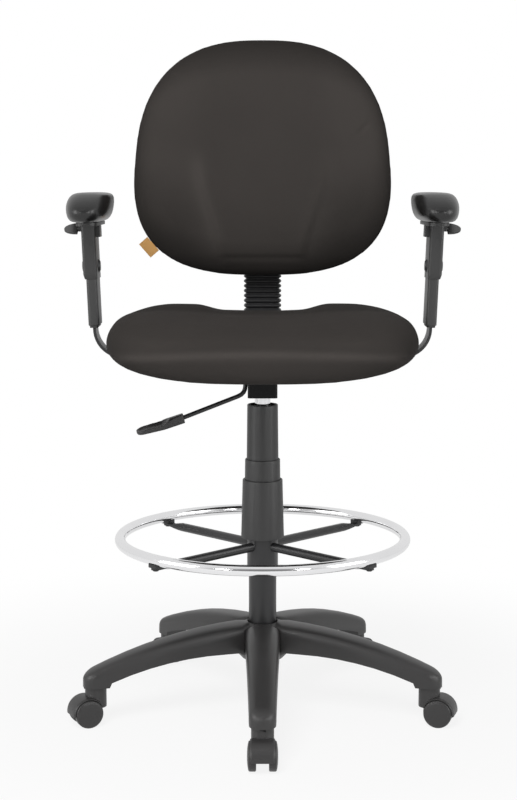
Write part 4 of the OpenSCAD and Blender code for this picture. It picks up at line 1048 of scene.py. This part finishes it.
crest_x = (bellows_high[0] - bellows_low[0]) / 2
crest_y = (bellows_high[1] - bellows_low[1]) / 2
heights = np.linspace(bellows_low[2], bellows_high[2], 184)
outside = [
    bellows_ring(z, crest_x - RIB * (1 - rib_share(z)), crest_y - RIB * (1 - rib_share(z)))
    for z in heights
]
bore_x = (bar_high[0] - bar_low[0]) / 2 + 0.002
inside = [bellows_ring(z, bore_x, 0.007) for z in heights[::-12]]
bellows = placed("bellows_sleeve", loop_mesh("bellows_sleeve", np.stack(outside + inside)), BELLOWS)
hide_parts("back_bellows")
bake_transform(bellows)
print("bellows:", len(bellows.data.polygons), "faces")

# %% [markdown]
# ## Tag
#
# A short ribbon is folded once and its ends are caught in the side seam of the back. A flat card
# would look cut from sheet metal, so the ribbon is a flat oval in section and bows a little. Its
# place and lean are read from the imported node, whose longest direction is the ribbon's.

# %% Tag
corners = np.unique(points_of(frame["nodes"]["cloth_tag"].data).round(6), axis=0)
tag_middle = corners.mean(0)
long_side, short_side, through = np.linalg.svd(corners - tag_middle)[2]
short_side = short_side * np.sign(short_side @ (tag_middle - BACK_MID))
TAG_L, TAG_W, TAG_T = 0.033, 0.021, 0.0009
around = np.linspace(0, 2 * np.pi, 64, endpoint=False)


def tag_ring(share):
    """Flat oval section at a share of the length, which bows by 0.8 mm and frays in at both ends."""
    end = 1 - np.abs(share) ** 24
    across = TAG_W / 2 * power(np.cos(around), 0.35)
    bow = 0.0008 * (np.cos(np.pi / 2 * across / (TAG_W / 2)) - 1) * share
    height = TAG_T / 2 * power(np.sin(around), 0.5) * end + bow
    ring = tag_middle + share * TAG_L / 2 * long_side
    return ring + across[:, None] * short_side + height[:, None] * through


tag_mesh = shell_mesh("woven_tag", np.stack([tag_ring(t) for t in np.linspace(-1, 1, 41)]))
tag = placed("woven_tag", tag_mesh, RIBBON)
set_field(tag_mesh, "painted_light", np.ones(len(tag_mesh.vertices)))
cloth_map(tag_mesh)
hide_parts("cloth_tag")
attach(tag, "back")
print("tag:", len(tag_mesh.polygons), "faces")

# %% [markdown]
# ## Grip
#
# The paddle at the end of the lever is moulded on, and its edges are worn round. A bevel of that
# size would eat up its small faces, so a copy is remeshed in fine even faces and evened instead,
# which melts every edge by the same amount.

# %% Grip
grip = placed("lever_grip_skin", frame["nodes"]["lever_grip"].data.copy(), NYLON)
bm = bmesh.new()
bm.from_mesh(grip.data)
bmesh.ops.remove_doubles(bm, verts=bm.verts, dist=MERGED)
bm.to_mesh(grip.data)
bm.free()
grip_mesh = remeshed(grip, 0.0009)
set_points(grip_mesh, evened(grip_mesh, points_of(grip_mesh), 10))
grip_mesh.shade_smooth()
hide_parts("lever_grip")
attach(grip, "lever")
print("grip:", len(grip_mesh.polygons), "faces")

# %% [markdown]
# ## Rigid parts
#
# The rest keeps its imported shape. Parts with crisp edges are dressed in copies with a small radius,
# which is the number beside each finish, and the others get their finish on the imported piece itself.

# %% Dress the rigid parts
KEPT = {
    "thrust_bearing": STEEL, "base_clip": STEEL,
    "piston_rod": STEEL, "release_pin": STEEL, "guide_bush": ACETAL, "seat_board": PLYWOOD,
    "back_board": PLYWOOD, "seat_bolts": STEEL,
}
for number in range(1, 6):
    KEPT[f"caster_{number}_pins"] = STEEL
for node, finish in KEPT.items():
    piece = frame["nodes"][node]
    piece.data.materials.clear()
    piece.data.materials.append(finish)

DRESSED = {
    "star_base": (NYLON, 0.0008), "column_tube": (COATED, 0.0004), "cover_lower": (COVER, 0.0005),
    "cover_middle": (COVER, 0.0005), "cover_upper": (COVER, 0.0005), "ring_spider": (COATED, 0.0004),
    "ring_fixings": (COATED, 0.0004), "ring_clamp_knob": (NYLON, 0.0008),
    "seat_mechanism": (GLOSS, 0.0012), "lift_lever": (COATED, 0.0), "foot_ring": (CHROME, 0.0),
    "pressure_cylinder": (CHROME, 0.0004),
    "left_arm_strap": (COATED, 0.0006), "right_arm_strap": (COATED, 0.0006),
    "left_arm_post": (COVER, 0.0012), "right_arm_post": (COVER, 0.0012),
    "left_arm_sleeve": (COVER, 0.001), "right_arm_sleeve": (COVER, 0.001),
    "left_arm_paddle": (COVER, 0.0008), "right_arm_paddle": (COVER, 0.0008),
    "back_bar": (COATED, 0.0006), "back_carrier": (COVER, 0.001), "back_shell": (COVER, 0.0),
    "back_knob": (NYLON, 0.0008), "depth_knob": (NYLON, 0.0008),
}
for number in range(1, 6):
    DRESSED[f"caster_{number}_hood"] = (NYLON, 0.0006)
    DRESSED[f"caster_{number}_left_wheel"] = (NYLON, 0.0006)
    DRESSED[f"caster_{number}_right_wheel"] = (NYLON, 0.0006)
for node, (finish, radius) in DRESSED.items():
    dressed(node, BODY[node], finish, radius)
print("kept:", len(KEPT), "dressed:", len(DRESSED))
